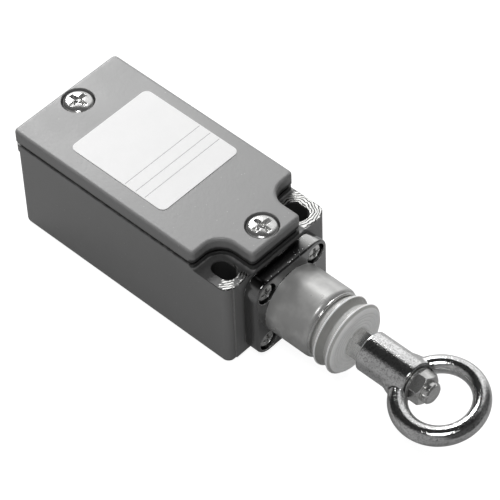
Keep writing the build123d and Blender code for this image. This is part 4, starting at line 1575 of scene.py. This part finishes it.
@dataclass
class Builder:
    """What every sub-assembly needs: the trees, the finishes and a way to hand a piece to its body."""

    palette: Palette
    coil: bpy.types.NodeTree
    pattern: bpy.types.NodeTree
    eye: bpy.types.NodeTree

    def stand_in(self, piece: bpy.types.Object, slot: str, body: Body, *nodes: str) -> None:
        """Let a piece ride on its body in place of CAD nodes.

        Args:
            piece: the finished object.
            slot: not used.
            body: the body that carries it.
            nodes: the CAD nodes that it stands for.
        """
        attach(piece, body.value)
        if nodes:
            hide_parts(*nodes)
        LOG.info("piece %s rides on %s: %d faces", piece.name, body.value, len(piece.data.polygons))

    def bend(
        self,
        piece: bpy.types.Object,
        slot: str,
        ends: tuple[Body, Body],
        places: tuple[Point, Point],
        node: str,
    ) -> None:
        """Put a piece in place of a CAD node, with its placement baked into its mesh.

        Args:
            piece: the finished object.
            slot: not used.
            ends: the two bodies, which are only named in the log.
            places: not used.
            node: the CAD node that it stands for.
        """
        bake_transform(piece)
        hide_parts(node)
        LOG.info("piece %s bends from %s to %s", piece.name, ends[0].value, ends[1].value)

    def screws(self, name: str, screw: CrossScrew, values: dict[str, Any], body: Body) -> None:
        """Repeat a screw in place of the CAD node of the same screws.

        Args:
            name: the CAD node.
            screw: the screw's sizes.
            values: the pattern's inputs.
            body: the body that carries the screws.
        """
        seed = screw.build(f"{name}_one")
        finish = self.palette.made["zinc_steel"]
        made = grow(f"{name}_heads", self.pattern, {**values, "Finish": finish}, seed)
        self.stand_in(made, "zinc_steel", body, name)


@dataclass
class CoverScrews:
    """The two screws that hold the cover."""

    head_radius: float = 3.5 * MM
    head_height: float = 2.3 * MM
    shank_radius: float = 1.75 * MM
    turn: float = -0.1
    seed: int = 4

    def build(self, builder: Builder) -> None:
        """Make both in the cover's sunk holes.

        Args:
            builder: the trees and finishes.
        """
        low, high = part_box("cover_screws")
        seat = high.z - self.head_height
        screw = CrossScrew(self.head_radius, self.head_height, self.shank_radius, seat - low.z)
        values = {
            "Size X": high.x - low.x - 2.0 * self.head_radius,
            "Size Y": 0.0,
            "Place": ((low.x + high.x) / 2.0, 0.0, seat),
            "Way": Way.UP.value,
            "Turn": self.turn,
            "Seed": self.seed,
        }
        builder.screws("cover_screws", screw, values, Body.CASE)


@dataclass
class FlangeScrews:
    """The four screws of the flange, which face forward, each turned its own way."""

    head_radius: float = 2.25 * MM
    head_height: float = 1.6 * MM
    shank_radius: float = 1.2 * MM
    pitch: float = 15.0 * MM
    spread: float = math.pi
    seed: int = 9

    def build(self, builder: Builder) -> None:
        """Make all four.

        Args:
            builder: the trees and finishes.
        """
        low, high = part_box("head_screws")
        seat = high.x - self.head_height
        screw = CrossScrew(self.head_radius, self.head_height, self.shank_radius, seat - low.x)
        values = {
            "Size X": self.pitch,
            "Size Y": self.pitch,
            "Place": (seat, (low.y + high.y) / 2.0, (low.z + high.z) / 2.0),
            "Way": Way.FORWARD.value,
            "Spread": self.spread,
            "Seed": self.seed,
        }
        builder.screws("head_screws", screw, values, Body.CASE)


@dataclass
class Bellows:
    """Thin silicone bellows of two folds, with a bead behind them and a flat face ahead.

    The steps of the outline are in millimetres: along X, and out from the radius that each one names.
    """

    wall: float = 0.8 * MM
    peak: float = 8.4 * MM
    valley: float = 7.3 * MM
    neck: float = 6.5 * MM
    bead: float = 7.25 * MM
    bead_length: float = 1.6 * MM
    hole: float = 3.2 * MM
    root: Steps = ((0.10, 0.20), (0.45, 0.60))
    first_rise: Steps = ((-0.90, -0.42), (-0.55, -0.20))
    first_fall: Steps = ((0.55, -0.50),)
    trough: Steps = ((3.55, 0.04), (3.90, 0.02))
    second_rise: Steps = ((-0.85, -0.42), (-0.55, -0.20))
    second_fall: Steps = ((0.45, -0.34), (0.80, -0.62))
    rim: Steps = ((-0.04, -1.15),)
    crest: Steps = ((-0.24, -0.16), (-0.17, 0.02), (0.0, 0.08), (0.17, 0.02), (0.24, -0.18))
    lining_x: tuple[float, ...] = (5.5 * MM, 4.0 * MM, 1.9 * MM, 0.5 * MM)
    lining_drop: float = 1.6 * MM
    ring_radii: tuple[float, ...] = (6.9 * MM, 6.1 * MM, 5.2 * MM, 4.4 * MM)
    ring_depth: float = 0.06 * MM
    ring_half: float = 0.2 * MM
    held: float = 0.5 * MM
    outer_steps: int = 4
    inner_steps: int = 5
    segments: int = 96

    @staticmethod
    def beside(x: float, radius: float, steps: Steps) -> list[Span]:
        """Place steps of the outline beside one point of it."""
        return [(x + along * MM, radius + out * MM) for along, out in steps]

    def face_rings(self, x: float) -> list[Span]:
        """Front face with the fine rings of its mould.

        Args:
            x: where the face is.

        Returns:
            The (x, radius) points from the rim to the rod.
        """
        points = []
        for radius in self.ring_radii:
            points += [
                (x, radius),
                (x - self.ring_depth, radius - self.ring_half),
                (x, radius - 2.0 * self.ring_half),
            ]
        return points

    def outside(self, mouth: float, end: float) -> list[Span]:
        """Outer outline of the folds and the face.

        Args:
            mouth: x of the barrel's mouth.
            end: x of the face.

        Returns:
            The (x, radius) points.
        """
        first = mouth + FIRST_CREST
        second = mouth + SECOND_CREST
        points = [
            *self.beside(mouth, self.neck, self.root),
            *self.beside(first, self.peak, self.first_rise + self.crest + self.first_fall),
            *self.beside(mouth, self.valley, self.trough),
            *self.beside(second, self.peak, self.second_rise + self.crest + self.second_fall),
            *self.beside(end, self.peak, self.rim),
            *self.face_rings(end),
        ]
        return wavy(points, self.outer_steps)

    def inside(self, mouth: float, end: float) -> list[Span]:
        """Inner outline of the folds, from the face back to the mouth.

        Args:
            mouth: x of the barrel's mouth.
            end: x of the face.

        Returns:
            The (x, radius) points.
        """
        radii = (self.peak, self.valley, self.peak, self.neck)
        points = [(end - self.wall, self.peak - self.lining_drop - self.wall)]
        points += [(mouth + x, radius - self.wall) for x, radius in zip(self.lining_x, radii)]
        return wavy(points, self.inner_steps)

    def build(self, builder: Builder) -> None:
        """Turn the bellows.

        Args:
            builder: the trees and finishes.
        """
        low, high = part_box("bellows")
        centre = (low + high) / 2.0
        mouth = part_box("pull_head")[1].x
        rear, end, wall = low.x, high.x, self.wall
        profile = [
            (rear, self.bead),
            (rear + self.bead_length, self.bead),
            (rear + self.bead_length, self.neck),
            (mouth, self.neck),
            *self.outside(mouth, end),
            (end, self.hole),
            (end - 2.0 * wall, self.hole),
            (end - 2.0 * wall, self.hole + wall),
            (end - wall, self.hole + 2.0 * wall),
            *self.inside(mouth, end),
            (rear, self.neck - wall),
        ]
        made = lathe("bellows_skin", profile, centre, self.segments)
        made.data.materials.append(builder.palette.made["silicone"])
        places = ((mouth + self.held, 0.0, centre.z), (end - 2.0 * wall, 0.0, centre.z))
        builder.bend(made, "silicone", (Body.CASE, Body.SLIDE), places, "bellows")


@dataclass
class MouthLip:
    """Thin bright lip round the barrel's mouth."""

    radius: float = 7.65 * MM
    bar: float = 0.32 * MM
    steps: int = 12
    segments: int = 96

    def build(self, builder: Builder) -> None:
        """Turn the lip.

        Args:
            builder: the trees and finishes.
        """
        low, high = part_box("pull_head")
        profile = circle((high.x, self.radius), self.bar, self.steps)
        made = lathe("mouth_lip", profile, (low + high) / 2.0, self.segments)
        made.data.materials.append(builder.palette.made["zinc_steel"])
        builder.stand_in(made, "zinc_steel", Body.CASE)


@dataclass
class ReturnSpring:
    """Coil on the rod, which the rod's collar presses against the bush."""

    wire: float = 0.35 * MM
    turns: float = 6.0

    def build(self, builder: Builder) -> None:
        """Coil the spring.

        Args:
            builder: the trees and finishes.
        """
        low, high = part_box("return_spring")
        middle = (low.z + high.z) / 2.0
        start = (low.x + self.wire, 0.0, middle)
        stop = (high.x - self.wire, 0.0, middle)
        values = {
            "Turns": self.turns,
            "Radius": (high.z - low.z) / 2.0 - self.wire,
            "Wire": self.wire,
            "Length": stop[0] - start[0],
            "Place": start,
            "Finish": builder.palette.made["spring_steel"],
        }
        made = grow("return_coil", builder.coil, values)
        builder.bend(made, "spring_steel", (Body.SLIDE, Body.CASE), (start, stop), "return_spring")


@dataclass
class RopeEye:
    """The forged eye, whose ring runs smoothly into its sleeve."""

    sleeve_radius: float = 4.7 * MM
    sleeve_length: float = 12.8 * MM
    sleeve_edge: float = 0.45 * MM
    ring_radius: float = 8.75 * MM
    bar_radius: float = 2.1 * MM
    roll: float = math.radians(8.0)
    blend: float = 3.0 * MM
    bore_radius: float = 2.57 * MM
    spot_radius: float = 4.25 * MM
    spot_depth: float = 0.5 * MM
    spot_length: float = 3.8 * MM
    voxel: float = 0.16 * MM
    quick_voxel: float = 0.4 * MM

    def build(self, builder: Builder) -> None:
        """Grow the eye in the place of its solid.

        Args:
            builder: the trees and finishes.
        """
        low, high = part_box("ring_eye")
        front = low.x + self.sleeve_length
        values = {
            "Axis Z": (low.z + high.z) / 2.0,
            "Sleeve Rear": low.x,
            "Sleeve Front": front,
            "Sleeve Radius": self.sleeve_radius,
            "Sleeve Edge": self.sleeve_edge,
            "Ring X": high.x - self.ring_radius - self.bar_radius,
            "Ring Radius": self.ring_radius,
            "Bar Radius": self.bar_radius,
            "Roll": self.roll,
            "Blend": self.blend,
            "Bore Radius": self.bore_radius,
            "Spot Radius": self.spot_radius,
            "Spot X": front - self.spot_depth,
            "Spot Length": self.spot_length,
            "Voxel": self.voxel,
            "Finish": builder.palette.made["eye_chrome"],
        }
        made = grow("eye_forging", builder.eye, values)
        builder.stand_in(made, "eye_chrome", Body.EYE, "ring_eye")


@dataclass
class Studio:
    """Pale floor, soft overhead light and the photograph's camera."""

    camera_place: Point = (0.27876, -0.28287, 0.47252)
    forward: Point = (-0.46630283, 0.46769206, -0.75088335)
    right: Point = (0.7292542, 0.68370922, -0.02701875)
    lens: float = 204.84
    sensor: float = 36.0
    nearest: float = 0.01
    floor_size: float = 1.6
    floor_tone: Colour = (0.32, 0.32, 0.32)
    floor_seen: float = 0.92
    mirror_y: Span = (6.0 * MM, 26.0 * MM)
    mirror_y_glow: Span = (0.08, 0.24)
    mirror_x: Span = (75.0 * MM, 45.0 * MM)
    mirror_x_share: Span = (0.25, 1.0)
    behind_y: Span = (0.34, 0.46)
    behind_glow: Span = (0.0, 0.90)
    behind_x: Span = (0.25, -0.20)
    behind_share: Span = (0.06, 1.0)
    left_y: Span = (-0.50, -0.78)
    left_glow: Span = (0.0, 0.27)
    front_x: Span = (0.20, 0.90)
    front_glow: Span = (0.025, 0.07)
    key_place: Point = (-1.05, 0.57, 0.90)
    key_size: float = 0.48
    key_power: float = 13.9
    fill_place: Point = (0.22, -0.35, 0.91)
    fill_size: float = 0.26
    fill_power: float = 2.6

    def camera(self) -> None:
        """Place the camera where the photograph was taken from."""
        data = bpy.data.cameras.new("camera")
        data.lens = self.lens
        data.sensor_width = self.sensor
        data.clip_start = self.nearest
        made = show("camera", data)
        back = -Vector(self.forward)
        right = Vector(self.right)
        turn = Matrix((right, back.cross(right), back)).transposed().to_4x4()
        made.matrix_world = Matrix.Translation(Vector(self.camera_place)) @ turn
        bpy.context.scene.camera = made

    def floor_finish(self) -> bpy.types.Material:
        """Paint that is white to the camera, dim in reflections with a painted shadow near the part, and
        matt in the lamps' light.

        Returns:
            The material.
        """
        material = bpy.data.materials.new("pale floor")
        material.use_nodes = True
        material.node_tree.nodes.clear()
        write = Nodes(material.node_tree)
        path = write.add("ShaderNodeLightPath").outputs
        axis = write.axes(write.add("ShaderNodeNewGeometry").outputs["Position"])
        # Painted shadow for mirrored rays: the floor's glow is dim near the part and rises towards +Y, and
        # falls to a quarter from x = 45 mm to 75 mm.
        across = write.ramp(axis[1], *self.mirror_y, *self.mirror_y_glow)
        glow = write.times(across, write.ramp(axis[0], *self.mirror_x, *self.mirror_x_share))
        mirrored = write.times(write.plus(path["Is Glossy Ray"], path["Is Transmission Ray"]), glow)
        strength = write.most(write.times(path["Is Camera Ray"], self.floor_seen), mirrored)
        lit = write.add("ShaderNodeEmission", {"Strength": strength}).outputs[0]
        matt = write.add("ShaderNodeBsdfDiffuse", {"Color": (*self.floor_tone, 1.0)}).outputs[0]
        both = write.add("ShaderNodeAddShader", {0: lit, 1: matt}).outputs[0]
        write.link(both, write.add("ShaderNodeOutputMaterial").inputs[0])
        return material

    def floor(self) -> None:
        """Lay the floor."""
        half = self.floor_size / 2.0
        shell = bmesh.new()
        corners = ((-half, -half), (half, -half), (half, half), (-half, half))
        shell.faces.new([shell.verts.new((x, y, 0.0)) for x, y in corners])
        made = from_bmesh("floor", shell)
        made.data.materials.append(self.floor_finish())

    def world(self) -> None:
        """Light the part from a white ceiling, with darker walls that metal mirrors."""
        made = bpy.data.worlds.new("studio")
        made.use_nodes = True
        made.node_tree.nodes.clear()
        write = Nodes(made.node_tree)
        axis = write.axes(write.add("ShaderNodeTexCoord").outputs["Generated"])
        behind = write.times(
            write.ramp(axis[1], *self.behind_y, *self.behind_glow),
            write.ramp(axis[0], *self.behind_x, *self.behind_share),
        )
        left = write.ramp(axis[1], *self.left_y, *self.left_glow)
        front = write.ramp(axis[0], *self.front_x, *self.front_glow)
        walls = write.plus(write.plus(behind, left), front)
        path = write.add("ShaderNodeLightPath").outputs
        strength = write.most(walls, write.most(path["Is Camera Ray"], path["Is Transmission Ray"]))
        glow = write.add("ShaderNodeBackground", {"Color": (1.0, 1.0, 1.0, 1.0), "Strength": strength})
        write.link(glow.outputs[0], write.add("ShaderNodeOutputWorld").inputs[0])
        bpy.context.scene.world = made

    @staticmethod
    def lamp(name: str, place: Point, size: float, power: float) -> None:
        """Hang a soft box that points at the part.

        Args:
            name: name of the lamp.
            place: where it hangs.
            size: its side in metres.
            power: its power in watts.
        """
        data = bpy.data.lights.new(name, "AREA")
        data.shape = "SQUARE"
        data.size = size
        data.energy = power
        made = show(name, data)
        made.location = place
        made.rotation_euler = Vector(place).to_track_quat("Z", "Y").to_euler()

    def build(self) -> None:
        """Set the whole studio."""
        self.camera()
        self.floor()
        self.world()
        self.lamp("key", self.key_place, self.key_size, self.key_power)
        self.lamp("fill", self.fill_place, self.fill_size, self.fill_power)
        bpy.context.scene.view_settings.view_transform = "Standard"


def main() -> None:
    """Dress the nodes, build the pieces and set the studio."""
    logging.basicConfig(level=logging.INFO, format="%(name)s: %(message)s")
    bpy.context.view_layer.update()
    palette = Palette(Effects(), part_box("pull_head")[1].x).build()
    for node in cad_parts.values():
        palette.dress(node)
    builder = Builder(palette, coil_tree(), pattern_tree(), EyeTree().tree)
    for part in (CoverScrews(), FlangeScrews(), Bellows(), MouthLip(), ReturnSpring(), RopeEye()):
        part.build(builder)
    Studio().build()


if __name__ == "__main__":
    main()
